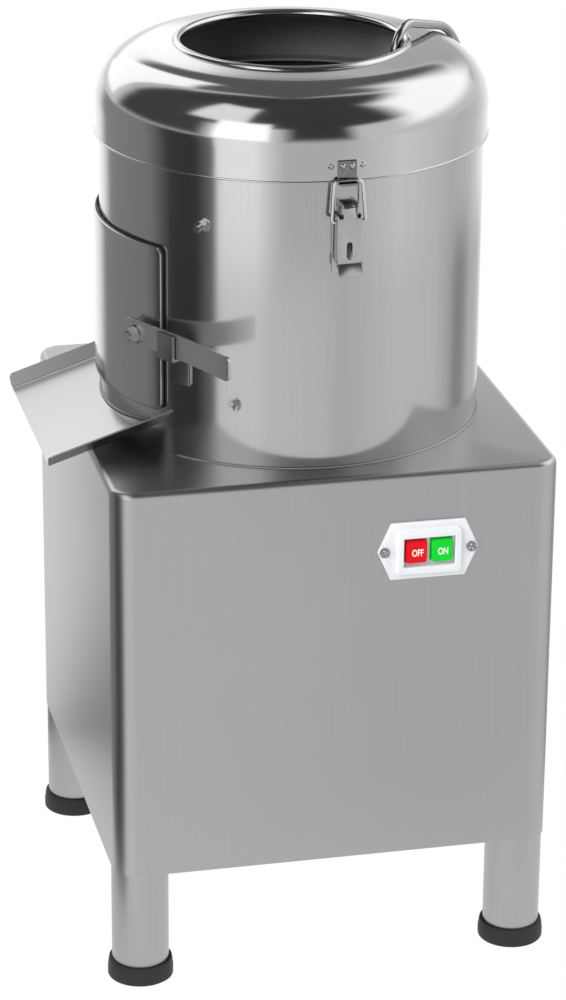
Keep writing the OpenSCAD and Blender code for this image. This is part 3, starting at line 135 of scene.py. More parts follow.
# Brushed sheet: fine lines along one axis from stretched noise, plus large soft blotches
def makeBrushedGroup(s):
    tree, groupIn, coords = newSkin("brushedSheet", (
        ("Line Scale", "Vector", (900.0, 900.0, 9.0)), ("Base Roughness", "Float", 0.3),
        ("Line Depth", "Float", 0.1), ("Tint", "Color", (0.5, 0.5, 0.5, 1.0))))
    stretch = tree.nodes.new("ShaderNodeVectorMath")
    stretch.operation = "MULTIPLY"
    tree.links.new(coords, stretch.inputs[0])
    tree.links.new(groupIn.outputs["Line Scale"], stretch.inputs[1])
    lines, height = noiseNode(tree, stretch.outputs[0], 1.0, s["lineDetail"])
    blotch = noiseNode(tree, coords, s["blotchScale"], s["blotchDetail"])[0]
    change = mathNode(tree, "ADD", mathNode(tree, "MULTIPLY", lines, groupIn.outputs["Line Depth"]),
                      mathNode(tree, "MULTIPLY", blotch, s["blotchDepth"]))
    return finishSkin(tree, groupIn, change, s["roughShare"], height)


roundSkin = {"detail": 4.0, "roughShare": 0.4}


# Grain: round noise at one scale for castings, grit, rubber and plastic
def makeGrainGroup(s):
    tree, groupIn, coords = newSkin("grainSkin", (
        ("Scale", "Float", 400.0), ("Contrast", "Float", 0.2), ("Base Roughness", "Float", 0.6),
        ("Tint", "Color", (0.3, 0.3, 0.3, 1.0))))
    grain, height = noiseNode(tree, coords, groupIn.outputs["Scale"], s["detail"])
    change = mathNode(tree, "MULTIPLY", grain, groupIn.outputs["Contrast"])
    return finishSkin(tree, groupIn, change, s["roughShare"], height)


effects = {"brushed": makeBrushedGroup(brushedSkin), "grain": makeGrainGroup(roundSkin)}
print("shader groups built")

# by effect and name: tint, roughness, metal, noise scale (along each axis where brushed), how far the
# noise changes the tint, bump, and the strength of the shine where it isn't the usual 0.5
finishes = {
    "brushed": {
        "cabinetSteel": ((0.41, 0.415, 0.42), 0.34, 1.0, (700.0, 700.0, 6.0), 0.08, 0.02),
        "drumSteel": ((0.445, 0.45, 0.455), 0.14, 1.0, (900.0, 900.0, 5.0), 0.10, 0.02),
        "doorSteel": ((0.445, 0.45, 0.455), 0.15, 1.0, (900.0, 900.0, 5.0), 0.12, 0.02),
        "leverSteel": ((0.46, 0.465, 0.47), 0.28, 1.0, (5.0, 5.0, 700.0), 0.14, 0.03),
        # painted shade: the door catch's steel, also used for the switch plate's screw heads, has about half
        # the drum steel's tint, so that it reads as in shade
        "catchSteelPaintedShade": ((0.24, 0.243, 0.25), 0.30, 1.0, (600.0, 600.0, 30.0), 0.12, 0.02),
        "chuteSteel": ((0.41, 0.415, 0.42), 0.26, 1.0, (8.0, 700.0, 8.0), 0.10, 0.02),
        "lidSteel": ((0.475, 0.48, 0.485), 0.12, 1.0, (60.0, 60.0, 60.0), 0.05, 0.0),
        "latchSteel": ((0.45, 0.455, 0.46), 0.20, 1.0, (500.0, 500.0, 500.0), 0.06, 0.0),
        # painted shade: the lid keepers' steel has half the latch steel's tint, so that they read as in shade
        "keeperSteelPaintedShade": ((0.22, 0.224, 0.23), 0.16, 1.0, (500.0, 500.0, 500.0), 0.06, 0.0),
        "pipeSteel": ((0.38, 0.385, 0.39), 0.10, 1.0, (300.0, 300.0, 300.0), 0.06, 0.01),
        "brightSteel": ((0.66, 0.665, 0.67), 0.18, 1.0, (500.0, 500.0, 500.0), 0.06, 0.0),
        "wireSteel": ((0.58, 0.585, 0.59), 0.10, 1.0, (500.0, 500.0, 500.0), 0.05, 0.0),
        "fastenerSteel": ((0.44, 0.44, 0.445), 0.14, 1.0, (600.0, 600.0, 600.0), 0.08, 0.02),
    },
    "grain": {
        "insideSteel": ((0.26, 0.26, 0.255), 0.62, 0.2, 300.0, 0.15, 0.02),
        # painted light: a near-white copy of the lever's steel for its back, which faces the drum in shade,
        # so that its reflection in the drum is lighter
        "leverBackPaintedLight": ((0.95, 0.95, 0.95), 0.40, 1.0, 300.0, 0.05, 0.0),
        "weldMetal": ((0.36, 0.355, 0.35), 0.34, 1.0, 900.0, 0.7, 0.3),
        "grit": ((0.19, 0.18, 0.17), 0.78, 0.0, 500.0, 1.2, 0.6),
        "castAluminium": ((0.42, 0.42, 0.42), 0.5, 1.0, 400.0, 0.2, 0.3),
        "footRubber": ((0.012, 0.012, 0.013), 0.62, 0.0, 160.0, 0.5, 0.15),
        "sealRubber": ((0.03, 0.031, 0.033), 0.5, 0.0, 200.0, 0.3, 0.05),
        "castIron": ((0.14, 0.15, 0.16), 0.6, 0.6, 350.0, 0.4, 0.3),
        "pulleyIron": ((0.30, 0.31, 0.33), 0.4, 1.0, 300.0, 0.3, 0.1),
        "bearingSteel": ((0.7, 0.7, 0.71), 0.12, 1.0, 300.0, 0.05, 0.0),
        "beltFabric": ((0.03, 0.03, 0.032), 0.8, 0.0, 900.0, 0.6, 0.3),
        "zincPlate": ((0.38, 0.39, 0.41), 0.42, 0.9, 40.0, 0.25, 0.02),
        "motorEnamel": ((0.10, 0.13, 0.16), 0.4, 0.0, 500.0, 0.2, 0.1),
        "copperWire": ((0.42, 0.20, 0.09), 0.35, 0.8, 700.0, 0.5, 0.4),
        "turnedSteel": ((0.5, 0.5, 0.51), 0.28, 1.0, 500.0, 0.1, 0.05),
        "blackPlastic": ((0.03, 0.031, 0.034), 0.5, 0.0, 600.0, 0.2, 0.1),
        "canPlastic": ((0.62, 0.63, 0.62), 0.45, 0.0, 300.0, 0.05, 0.02),
        "brassTurned": ((0.62, 0.45, 0.16), 0.25, 1.0, 400.0, 0.1, 0.03),
        "whitePlastic": ((0.78, 0.78, 0.79), 0.35, 0.0, 400.0, 0.04, 0.03),
        "letterWhite": ((0.85, 0.85, 0.84), 0.45, 0.0, 500.0, 0.04, 0.02),
        "redPlastic": ((0.70, 0.004, 0.010), 0.5, 0.0, 400.0, 0.05, 0.02, 0.12),
        "greenPlastic": ((0.004, 0.60, 0.030), 0.5, 0.0, 400.0, 0.05, 0.02, 0.12),
    },
}
bumpHigh = 0.0004     # metres of relief at a bump of one


def makeMaterial(name, effect, tint, rough, metal, scale, depth, bump, shine=0.5):
    mat = bpy.data.materials.new(name)
    mat.use_nodes = True
    tree = mat.node_tree
    shader = tree.nodes["Principled BSDF"]
    skin = tree.nodes.new("ShaderNodeGroup")
    skin.node_tree = effects[effect]
    skin.inputs["Tint"].default_value = (*tint, 1.0)
    skin.inputs["Base Roughness"].default_value = rough
    skin.inputs["Line Scale" if effect == "brushed" else "Scale"].default_value = scale
    skin.inputs["Line Depth" if effect == "brushed" else "Contrast"].default_value = depth
    shader.inputs["Metallic"].default_value = metal
    shader.inputs["Specular IOR Level"].default_value = shine
    tree.links.new(skin.outputs["Colour"], shader.inputs["Base Color"])
    tree.links.new(skin.outputs["Roughness"], shader.inputs["Roughness"])
    if bump > 0:
        relief = tree.nodes.new("ShaderNodeBump")
        relief.inputs["Strength"].default_value = bump
        relief.inputs["Distance"].default_value = bumpHigh
        tree.links.new(skin.outputs["Height"], relief.inputs["Height"])
        tree.links.new(relief.outputs["Normal"], shader.inputs["Normal"])
    return mat


materials = {}
for effect, looks in finishes.items():
    for name, look in looks.items():
        materials[name] = makeMaterial(name, effect, *look)
print("materials made:", len(materials))

nodeFinish = {
    "cabinetSteel": "cabinet_shell back_panel legs",
    "drumSteel": "drum drum_floor drain_elbow",
    "insideSteel": "lid_seat_ring",
    "doorSteel": "door",
    "leverSteel": "door_lever",
    "catchSteelPaintedShade": "lever_catch",
    "chuteSteel": "chute",
    "lidSteel": "lid",
    "pipeSteel": "water_pipe",
    "wireSteel": "latch_bail_front latch_bail_rear",
    "brightSteel": "pipe_clip disc_cap_nut",
    "latchSteel": "latch_lever_front latch_lever_rear latch_bases",
    "keeperSteelPaintedShade": "lid_keepers",
    "fastenerSteel": "back_panel_screws liner_bolts door_hinge_leaf drum_hinge_leaf hinge_pin lever_bolt "
                     "lever_nut keeper_rivets latch_rivets housing_bolts motor_bolts",
    "grit": "abrasive_liner",
    "castAluminium": "abrasive_disc",
    "footRubber": "foot_caps",
    "sealRubber": "door_seal lid_gasket shaft_seal",
    "castIron": "bearing_housing",
    "pulleyIron": "driven_pulley motor_pulley",
    "bearingSteel": "bearing_upper bearing_lower",
    "beltFabric": "drive_belt",
    "zincPlate": "motor_plate motor_rails",
    "motorEnamel": "motor_housing motor_end_shields fan_cover terminal_box",
    "copperWire": "motor_stator",
    "turnedSteel": "spindle motor_rotor",
    "blackPlastic": "motor_fan cable_gland",
    "canPlastic": "run_capacitor",
    "brassTurned": "hose_tail",
    "whitePlastic": "switch_plate",
    "redPlastic": "button_off",
    "greenPlastic": "button_on",
}
# the CAD nodes whose sharp edges get a small bevel, in millimetres
nodeEdge = {"switch_plate": 0.6, "latch_lever_front": 0.5, "latch_lever_rear": 0.5, "lid_keepers": 0.4,
            "lever_catch": 0.5, "door_hinge_leaf": 0.4, "drum_hinge_leaf": 0.4, "latch_bases": 0.4}
nodeDress = {"weld": 0.02, "flat": 1.0, "sharp": 32.0, "steps": 3}      # millimetres, then degrees


# A CAD node is loose triangles: they are welded, and the shading is split at real edges. Where an edge is
# given, the triangles of a flat face are joined first and its sharp edges bevelled
def dressNode(obj, material, edge, d):
    obj.data.materials.clear()
    obj.data.materials.append(material)
    obj.data.polygons.foreach_set("use_smooth", np.ones(len(obj.data.polygons), bool))
    weld = obj.modifiers.new("weld", "WELD")
    weld.merge_threshold = d["weld"] * mm
    if edge:
        flat = obj.modifiers.new("flatFaces", "DECIMATE")
        flat.decimate_type, flat.angle_limit = "DISSOLVE", math.radians(d["flat"])
        bevel = obj.modifiers.new("softEdges", "BEVEL")
        bevel.width, bevel.segments = edge * mm, d["steps"]
        bevel.limit_method, bevel.angle_limit = "ANGLE", math.radians(d["sharp"])
        bevel.use_clamp_overlap = False
        bevel.harden_normals = True
    split = obj.modifiers.new("edges", "EDGE_SPLIT")
    split.split_angle = math.radians(d["sharp"])
    split.use_edge_sharp = False


for finish, names in nodeFinish.items():
    for name in names.split():
        dressNode(nodes[name], materials[finish], nodeEdge.get(name, 0.0), nodeDress)
print("CAD nodes dressed")


# Faces of a grid of points; either way round may close on itself
def gridFaces(nu, nv, wrapU=False, wrapV=False):
    i, j = np.meshgrid(np.arange(nu if wrapU else nu - 1), np.arange(nv if wrapV else nv - 1), indexing="ij")
    i2, j2 = (i + 1) % nu, (j + 1) % nv
    return np.stack([i * nv + j, i2 * nv + j, i2 * nv + j2, i * nv + j2], axis=-1).reshape(-1, 4)


# Points at an azimuth in radians, a radius and a height about the Z axis
def polar(az, r, z):
    az, r, z = np.broadcast_arrays(az, r, z)
    return np.stack([np.cos(az) * r, np.sin(az) * r, z], axis=-1)


# Points in millimetres and faces become an object that rides on a body
def newPiece(name, points, faces, finish, body, replaced="", angle=35.0, merge=0.0):
    mesh = bpy.data.meshes.new(name)
    faces = faces.tolist() if isinstance(faces, np.ndarray) else faces
    mesh.from_pydata((np.asarray(points, float).reshape(-1, 3) * mm).tolist(), [], faces)
    mesh.polygons.foreach_set("use_smooth", np.ones(len(mesh.polygons), bool))
    mesh.set_sharp_from_angle(angle=math.radians(angle))
    mesh.materials.append(materials[finish])
    if merge:
        shell = bmesh.new()
        shell.from_mesh(mesh)
        bmesh.ops.remove_doubles(shell, verts=shell.verts, dist=merge * mm)
        shell.to_mesh(mesh)
        shell.free()
    mesh.validate()
    obj = bpy.data.objects.new(name, mesh)
    scene.collection.objects.link(obj)
    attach(obj, body)
    if replaced:
        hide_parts(*replaced.split())
    return obj


# The marked faces of a piece get a second finish, that of a steel sheet's inner side unless one is named
def finishInside(obj, marked, finish="insideSteel"):
    obj.data.materials.append(materials[finish])
    obj.data.polygons.foreach_set("material_index", np.asarray(marked).astype(np.int32))


# Several shells of points and faces joined into one
def joined(*shells):
    points, faces, start = [], [], 0
    for p, f in shells:
        p = np.asarray(p, float).reshape(-1, 3)
        points.append(p)
        faces += [[k + start for k in face] for face in (f.tolist() if isinstance(f, np.ndarray) else f)]
        start += len(p)
    return np.concatenate(points), faces


# Turned form: a closed outline of (radius, height), anticlockwise, carried round the Z axis
def turned(outline, steps):
    r, z = np.asarray(outline, float).T
    az = np.linspace(0, 2 * np.pi, steps, endpoint=False)[:, None]
    return polar(az, r, z), gridFaces(steps, len(z), True, True)


# Arc of an outline: centre plus radius times (cos, sin), from one angle to another in degrees
def arc(midX, midY, r, angleFrom, angleTo, n):
    a = np.radians(np.linspace(angleFrom, angleTo, n))
    return np.stack([midX + r * np.cos(a), midY + r * np.sin(a)], axis=1)


# Rectangle with round corners, anticlockwise, with points along its sides too
def roundRect(w, d, r, sides, n=7):
    w, d = w / 2, d / 2
    corners = [arc(w - r, -d + r, r, -90, 0, n), arc(w - r, d - r, r, 0, 90, n),
               arc(-w + r, d - r, r, 90, 180, n), arc(-w + r, -d + r, r, 180, 270, n)]
    out = []
    for k in range(4):
        out.append(corners[k])
        a, b = corners[k][-1], corners[(k + 1) % 4][0]
        t = np.linspace(0, 1, (sides[1], sides[0])[k % 2] + 1)[1:-1, None]
        out.append(a + (b - a) * t)
    return np.concatenate(out)


# Soft-edged plate: a flat outline whose rings step in round the rim by a quarter circle, then shrink
# to its middle on both faces; what comes out is (x, y, height). With a wall given, the lower rim is
# a thin wall that reaches down to height -1
def softPlate(outline, thick, edge, rings, wall=0.0):
    outline = np.asarray(outline, float)
    ahead = np.roll(outline, -1, 0) - np.roll(outline, 1, 0)
    normal = np.stack([ahead[:, 1], -ahead[:, 0]], 1) / np.linalg.norm(ahead, axis=1)[:, None]
    turn = np.radians(np.linspace(0, 90, 5))
    lower = [(edge * (1 - np.sin(t)), edge * (1 - np.cos(t))) for t in turn]
    if wall:
        lower = [(wall + 0.4, 0.0), (wall, -0.1), (wall, -1.0), (wall * 0.5, -1.0), (0.0, -0.85), (0.0, 0.0)]
    upper = [(edge * (1 - np.cos(t)), thick - edge * (1 - np.sin(t))) for t in turn]
    middle = outline.mean(0)
    inner, below = outline - normal * edge, outline - normal * (wall + 0.4 if wall else edge)
    shrink = np.linspace(0.04, 1, rings)
    layers = [np.c_[middle + (below - middle) * f, np.zeros(len(outline))] for f in shrink[:-1]]
    layers += [np.c_[outline - normal * inset, np.full(len(outline), h)] for inset, h in lower + upper]
    layers += [np.c_[middle + (inner - middle) * f, np.full(len(outline), thick)] for f in shrink[::-1][1:]]
    points = np.stack(layers)
    nu, nv = points.shape[:2]
    faces = gridFaces(nv, nu, True, False)
    i, j = faces // nu, faces % nu
    faces = (j * nv + i).tolist()
    faces += [list(range(nv))[::-1], [(nu - 1) * nv + k for k in range(nv)]]
    return points.reshape(-1, 3), faces


# Tube: circles of a radius stand square to a path; the frame is carried along without twist
def tube(path, radius, sides):
    path = np.asarray(path, float)
    radius = np.broadcast_to(np.asarray(radius, float), len(path))
    along = np.gradient(path, axis=0)
    along /= np.linalg.norm(along, axis=1)[:, None]
    first = np.cross(along[0], (0.0, 0.0, 1.0))
    if np.linalg.norm(first) < 0.1:
        first = np.cross(along[0], (1.0, 0.0, 0.0))
    across = [first / np.linalg.norm(first)]
    for t in along[1:]:
        v = across[-1] - t * np.dot(across[-1], t)
        across.append(v / np.linalg.norm(v))
    across = np.array(across)
    third = np.cross(along, across)
    a = np.linspace(0, 2 * np.pi, sides, endpoint=False)
    ring = np.cos(a)[None, :, None] * across[:, None, :] + np.sin(a)[None, :, None] * third[:, None, :]
    points = (path[:, None, :] + ring * radius[:, None, None]).reshape(-1, 3)
    faces = gridFaces(len(path), sides, False, True)[:, ::-1].tolist()
    last = (len(path) - 1) * sides
    faces += [list(range(sides))[::-1], [last + i for i in range(sides)]]
    return points, faces


# Corners of a path made round: each becomes a quadratic curve between two points beside it
def rounded(path, reach, n=6):
    path = np.asarray(path, float)
    out = [path[0]]
    for a, b, c in zip(path[:-2], path[1:-1], path[2:]):
        p = b + (a - b) / np.linalg.norm(a - b) * reach
        q = b + (c - b) / np.linalg.norm(c - b) * reach
        t = np.linspace(0, 1, n)[:, None]
        out.extend((1 - t) ** 2 * p + 2 * t * (1 - t) * b + t ** 2 * q)
    return np.array(out + [path[-1]])


# Sheet with a thickness: two grids of points and a mask of the cells that exist
def sheetShell(outer, inner, mask=None, wrapU=False):
    nu, nv = outer.shape[:2]
    cu = nu if wrapU else nu - 1
    mask = np.ones((cu, nv - 1), bool) if mask is None else mask
    base = nu * nv
    i, j = np.nonzero(mask)
    i2 = (i + 1) % nu
    a, b, c, d = i * nv + j, i2 * nv + j, i2 * nv + j + 1, i * nv + j + 1
    faces = [np.stack([a, b, c, d], 1), np.stack([a, d, c, b], 1) + base]
    if wrapU:
        before, after = np.roll(mask, 1, 0), np.roll(mask, -1, 0)
    else:
        before = np.vstack([np.zeros((1, nv - 1), bool), mask[:-1]])
        after = np.vstack([mask[1:], np.zeros((1, nv - 1), bool)])
    below = np.hstack([np.zeros((cu, 1), bool), mask[:, :-1]])
    above = np.hstack([mask[:, 1:], np.zeros((cu, 1), bool)])
    for free, kind in ((before, 0), (after, 1), (below, 2), (above, 3)):
        i, j = np.nonzero(mask & ~free)
        i2 = (i + 1) % nu
        p, q = [(i * nv + j, i * nv + j + 1), (i2 * nv + j + 1, i2 * nv + j),
                (i2 * nv + j, i * nv + j), (i * nv + j + 1, i2 * nv + j + 1)][kind]
        faces.append(np.stack([p, q, q + base, p + base], 1))
    points = np.concatenate([outer.reshape(-1, 3), inner.reshape(-1, 3)])
    faces = np.concatenate(faces)
    used, index = np.unique(faces, return_inverse=True)
    return points[used], index.reshape(faces.shape)


# Local (outwards, sideways, up) about the drum's axis, turned to a direction in degrees
def facing(points, az):
    points = np.asarray(points, float)
    c, s = math.cos(math.radians(az)), math.sin(math.radians(az))
    return points @ np.array([(c, s, 0.0), (-s, c, 0.0), (0.0, 0.0, 1.0)])


# Smooth waves summed from a few sines, for hand-made unevenness; values near -1 to 1
def ripple(u, v, seed, waves=6):
    dice = np.random.default_rng(seed)
    total = np.zeros(np.broadcast(u, v).shape)
    for k in range(waves):
        total += np.sin(u * dice.uniform(0.5, 3.0) + v * dice.uniform(0.5, 3.0) + dice.uniform(0, 6.28))
    return total / waves


# Weld bead: a tube whose radius swells as the sine of each drop of metal laid down, and shrinks at both ends
def weldBead(path, radius, f, seed):
    path = np.asarray(path, float)
    step = np.r_[0, np.cumsum(np.linalg.norm(np.diff(path, axis=0), axis=1))]
    s = np.arange(0, step[-1], f["drop"] / 4)
    path = np.stack([np.interp(s, step, path[:, k]) for k in range(3)], 1)
    swell = np.abs(np.sin(np.pi * s / f["drop"])) * f["swell"] + ripple(s / 9, 0 * s, seed) * f["uneven"]
    ends = np.clip(np.minimum(s, s[-1] - s) / radius, 0.15, 1)
    return tube(path, radius * (1 + swell) * np.sqrt(ends), 8)


print("mesh helpers ready")

lidForm = {"skirtR": 174.4, "skirtZ": 734.6, "skirtRows": 745.0, "shoulderZ": 762.0, "shoulderR": 50.0,
           "sheet": 1.5, "crown": 5.0, "crownR": (120.0, 114.0, 109.0, 106.5), "insideZ": (750.0, 740.0),
           "beadR": 0.9, "beadIn": 0.2, "beadTop": 4.0, "lipMidR": 101.5, "lipR": 4.0, "lipSunk": 0.25,
           "lipTop": 817.0, "steps": 288}


# Lid: a turned outline of rolled bead, upright skirt, round shoulder, slight crown and rolled lip, then the
# same walls inside, one sheet's thickness in
def makeLid(f):
    midR = f["skirtR"] - f["shoulderR"]
    lipZ, steep = f["lipTop"] - f["lipR"], math.tan(math.radians(f["crown"]))
    outer = arc(midR, f["shoulderZ"], f["shoulderR"], 0, 90 - f["crown"], 40)
    inner = arc(midR, f["shoulderZ"], f["shoulderR"] - f["sheet"], 90 - f["crown"], 0, 30)

    def crownAt(start):
        r = np.array(f["crownR"])
        return np.stack([r, start[1] + (start[0] - r) * steep], 1)

    top, below = crownAt(outer[-1]), crownAt(inner[0])
    meet, under = (math.degrees(math.asin(max(-0.95, min(0.95, (z - lipZ) / f["lipR"]))))
                   for z in (top[-1, 1] + f["lipSunk"], below[-1, 1] + f["lipSunk"]))
    lipArc = arc(f["lipMidR"], lipZ, f["lipR"], meet, 360 + under, 34)
    skirt = [f["skirtZ"] + f["beadTop"], *np.linspace(f["skirtRows"], f["shoulderZ"] - 1, 4)]
    inside = np.concatenate([below[::-1], inner, [(f["skirtR"] - f["sheet"], z) for z in f["insideZ"]]])
    outline = np.concatenate([
        arc(f["skirtR"] - f["beadIn"], f["skirtZ"] + f["beadR"], f["beadR"], -140, 75, 10),
        [(f["skirtR"], z) for z in skirt], outer, top, lipArc, inside,
    ])
    points, faces = turned(outline, f["steps"])
    obj = newPiece("lidShell", points, faces, "lidSteel", "lid", "lid", angle=50)
    finishInside(obj, faces[:, 0] % len(outline) >= len(outline) - len(inside))


drumForm = {"outer": 171.0, "inner": 169.5, "low": 476.0, "high": 752.0, "windowHalf": 34.62,
            "windowLow": 521.0, "windowHigh": 652.0, "windowSteps": 48, "cells": (300, 24)}
linerForm = {"outer": 169.2, "inner": 167.2, "low": 484.0, "high": 730.0, "grit": 0.35, "cells": (480, 140)}


# Azimuths and heights of the drum's wall with lines at the window's edges, and a mask of the cells outside
# the window
def drumGrid(form, window):
    half = math.radians(window["windowHalf"])
    back = np.linspace(math.pi - half, math.pi + half, window["windowSteps"])
    rest = np.linspace(math.pi + half, 3 * math.pi - half, form["cells"][0])[1:-1]
    az = np.concatenate([back, rest])
    rows = np.linspace(form["low"], form["high"], form["cells"][1])
    z = np.unique(np.concatenate([rows, [window["windowLow"], window["windowHigh"]]]))
    cellAz, cellZ = az + 0.001, z[:-1] + 1      # just past each cell's first corner
    inWidth = np.abs(cellAz - math.pi) < half
    inHeight = (cellZ > window["windowLow"]) & (cellZ < window["windowHigh"])
    return az[:, None], z[None, :], ~(inWidth[:, None] & inHeight[None, :])


# Drum: an upright cylinder of sheet with the discharge window left out
def makeDrum(f):
    az, z, mask = drumGrid(f, f)
    points, faces = sheetShell(polar(az, f["outer"], z), polar(az, f["inner"], z), mask, True)
    obj = newPiece("drumShell", points, faces, "drumSteel", "frame", "drum")
    face, cells = np.arange(len(faces)), mask.sum()
    finishInside(obj, (face >= cells) & (face < 2 * cells))


# Liner: a cylinder with the same window, whose inner face stands proud by a random grain
def makeLiner(f, drum):
    az, z, mask = drumGrid(f, drum)
    grain = np.random.default_rng(11).random((len(az), z.shape[1])) * f["grit"]
    points, faces = sheetShell(polar(az, f["outer"], z), polar(az, f["inner"] - grain, z), mask, True)
    newPiece("linerGrit", points, faces, "grit", "frame", "abrasive_liner", angle=60)


discForm = {"radius": 162.2, "over": 0.3, "flat": 508.0, "bore": 18.4, "ridges": 4, "ridgeHigh": 7.0,
            "ridgeR": 26.0, "ridgeTurn": 20.0, "ridgeFrom": 40.0, "rampIn": (14.0, 12.0), "ridgeTo": 156.2,
            "rampOut": (5.0, 3.5), "grit": 0.5, "least": 0.08, "under": 0.02, "rings": 96, "steps": 400}


# Disc's coating: a skin over the cast disc and its waves, each wave an arc of a circle across its line
# that ramps up at both ends, with a random grain on top
def makeDisc(f):
    az = np.linspace(0, 2 * np.pi, f["steps"], endpoint=False)[:, None]
    r = np.linspace(f["radius"] + f["over"], f["bore"], f["rings"])[None, :]
    high = np.zeros((f["steps"], f["rings"]))
    centre = f["ridgeHigh"] - f["ridgeR"]
    for k in range(f["ridges"]):
        turn = az - math.radians(f["ridgeTurn"] + k * 360 / f["ridges"])
        across, along = r * np.sin(turn), r * np.cos(turn)
        wave = centre + np.sqrt(np.maximum(f["ridgeR"] ** 2 - across ** 2, 0.0))
        rampIn = np.clip((along - f["ridgeFrom"] + f["rampIn"][0]) / f["rampIn"][1], 0, 1)
        rampOut = np.clip((f["ridgeTo"] + f["rampOut"][0] - r) / f["rampOut"][1], 0, 1)
        high = np.maximum(high, wave * (rampIn * rampOut))
    grain = f["least"] + np.random.default_rng(5).random(high.shape) * f["grit"]
    top, under = polar(az, r, f["flat"] + high + grain), polar(az, r, f["flat"] + high + f["under"])
    points, faces = sheetShell(top, under, None, True)
    newPiece("discGrit", points, faces, "grit", "disc_drive", angle=60)


doorForm = {"inner": 174.5, "outer": 176.0, "half": 37.5, "low": 515.0, "high": 664.0, "corner": 6.0,
            "edge": 0.55, "wall": 0.75, "lip": 2.8, "lipFrom": -60.0, "lipOver": 40.0, "lipLeast": 0.05}


# Door: a soft-edged pan, wrapped on the drum's curve by turning its width into an angle; its rim
# turns in towards the drum, less and less on the hinge side
def makeDoor(f):
    wide = 2 * f["outer"] * math.sin(math.radians(f["half"]))
    outline = roundRect(wide, f["high"] - f["low"], f["corner"], (64, 8))
    points, faces = softPlate(outline, f["outer"] - f["inner"], f["edge"], 14, f["wall"])
    x, y, h = points.T
    h = np.where(h < 0, h * f["lip"] * np.clip((x - f["lipFrom"]) / f["lipOver"], f["lipLeast"], 1), h)
    az = math.pi + np.arcsin(np.clip(x / f["outer"], -0.99, 0.99))
    points = polar(az, f["inner"] + h, (f["low"] + f["high"]) / 2 + y)
    obj = newPiece("doorPanel", points, faces, "doorSteel", "door", "door", angle=40)
    rim = h[np.array(faces[:-2])].min(1) < -0.05
    finishInside(obj, np.r_[rim, False, False], "sealRubber")      # the two middle faces stand last


leverForm = {"az": -150.6, "inner": 181.0, "thick": 3.0, "from": -12.0, "long": 131.0, "wide": 22.0,
             "mid": 585.0, "knee": 68.0, "lean": 5.0, "bend": 5.0, "corner": 6.0, "edge": 0.6}


# Door lever: a soft-edged bar whose handle leans out past the knee, on a hyperbola's short smooth bend; its
# back, in shade against the drum, gets a near-white steel as painted light
def makeLever(f):
    outline = roundRect(f["long"] - f["from"], f["wide"], f["corner"], (40, 6))
    points, faces = softPlate(outline, f["thick"], f["edge"], 5)
    x, y, h = points.T
    x = x + (f["long"] + f["from"]) / 2
    past = x - f["knee"]
    out = math.tan(math.radians(f["lean"])) * (past + np.sqrt(past ** 2 + f["bend"] ** 2)) / 2
    points = facing(np.stack([f["inner"] + h + out, x, f["mid"] + y], 1), f["az"])
    obj = newPiece("leverBar", points, faces, "leverSteel", "door_lever", "door_lever", angle=40)
    # painted light: the back faces and the back cap get the near-white steel
    back = h[np.array(faces[:-2])].max(1) < 0.5
    finishInside(obj, np.r_[back, True, False], "leverBackPaintedLight")


chuteForm = {"wide": 203.0, "reach": 239.0, "drop": 470.4, "slope": 18.2, "sheet": 1.5, "flange": 15.0,
             "lean": 45.0, "bend": 2.2, "corner": 10.0, "flangeCut": 1.0, "drumR": 171.15, "floorSteps": 44}


# Chute: its section, a flat floor with two leaning flanges, is carried along its length and cut to the drum's
# curve; the flanges' free corners shrink along a quarter circle
def makeChute(f):
    t = np.r_[np.linspace(0, 0.06, 10), np.linspace(0.07, 1, 40)][:, None]      # closer at the free end
    half, lean, slope = f["wide"] / 2, math.radians(f["lean"]), math.radians(f["slope"])
    floor = np.linspace(-half + f["bend"], half - f["bend"], f["floorSteps"])

    def section(offset):
        r = f["bend"] - offset
        a = np.linspace(0, math.pi / 2 - lean, 6)[1:]
        bendY, bendZ = half - f["bend"] + r * np.sin(a), f["bend"] - r * np.cos(a)
        flat = np.full(len(floor), float(offset))
        return np.r_[-bendY[::-1], floor, bendY], np.r_[bendZ[::-1], flat, bendZ]

    leanY, leanZ = math.cos(math.pi / 2 - lean), math.sin(math.pi / 2 - lean)
    steps = np.linspace(0, 1, 6)[1:][None, :]
    toCorner = np.clip(f["corner"] - t * f["reach"], 0, f["corner"])
    shrunk = np.sqrt(np.maximum(f["corner"] * f["corner"] - toCorner ** 2, 0))
    width = f["flange"] - f["corner"] + shrunk - f["flangeCut"]
    sheets = []
    for offset in (0.0, -f["sheet"]):
        y, z = section(offset)
        flangeY = y[-1] + leanY * width * steps
        flangeZ = z[-1] + leanZ * width * steps
        fullY = np.c_[-flangeY[:, ::-1], np.broadcast_to(y, (len(t), len(y))), flangeY]
        fullZ = np.c_[flangeZ[:, ::-1], np.broadcast_to(z, (len(t), len(z))), flangeZ]
        end = (f["reach"] - np.sqrt(f["drumR"] ** 2 - fullY ** 2) + math.sin(slope) * fullZ) / math.cos(slope)
        x = t * end
        sheets.append(np.stack([-f["reach"] + x * math.cos(slope) - fullZ * math.sin(slope), fullY,
                                f["drop"] + x * math.sin(slope) + fullZ * math.cos(slope)], -1))
    points, faces = sheetShell(*sheets)
    newPiece("chuteSheet", points, faces, "chuteSteel", "frame", "chute")


footForm = {"at": 174.25, "outer": 29.75, "bore": 25.8, "high": 17.5, "floor": 5.0, "soleR": 1.6, "rimR": 1.4,
            "rimIn": 2.6, "taper": (0.7, 4.0), "bevel": (0.3, 0.4), "uneven": 0.22, "steps": 96}


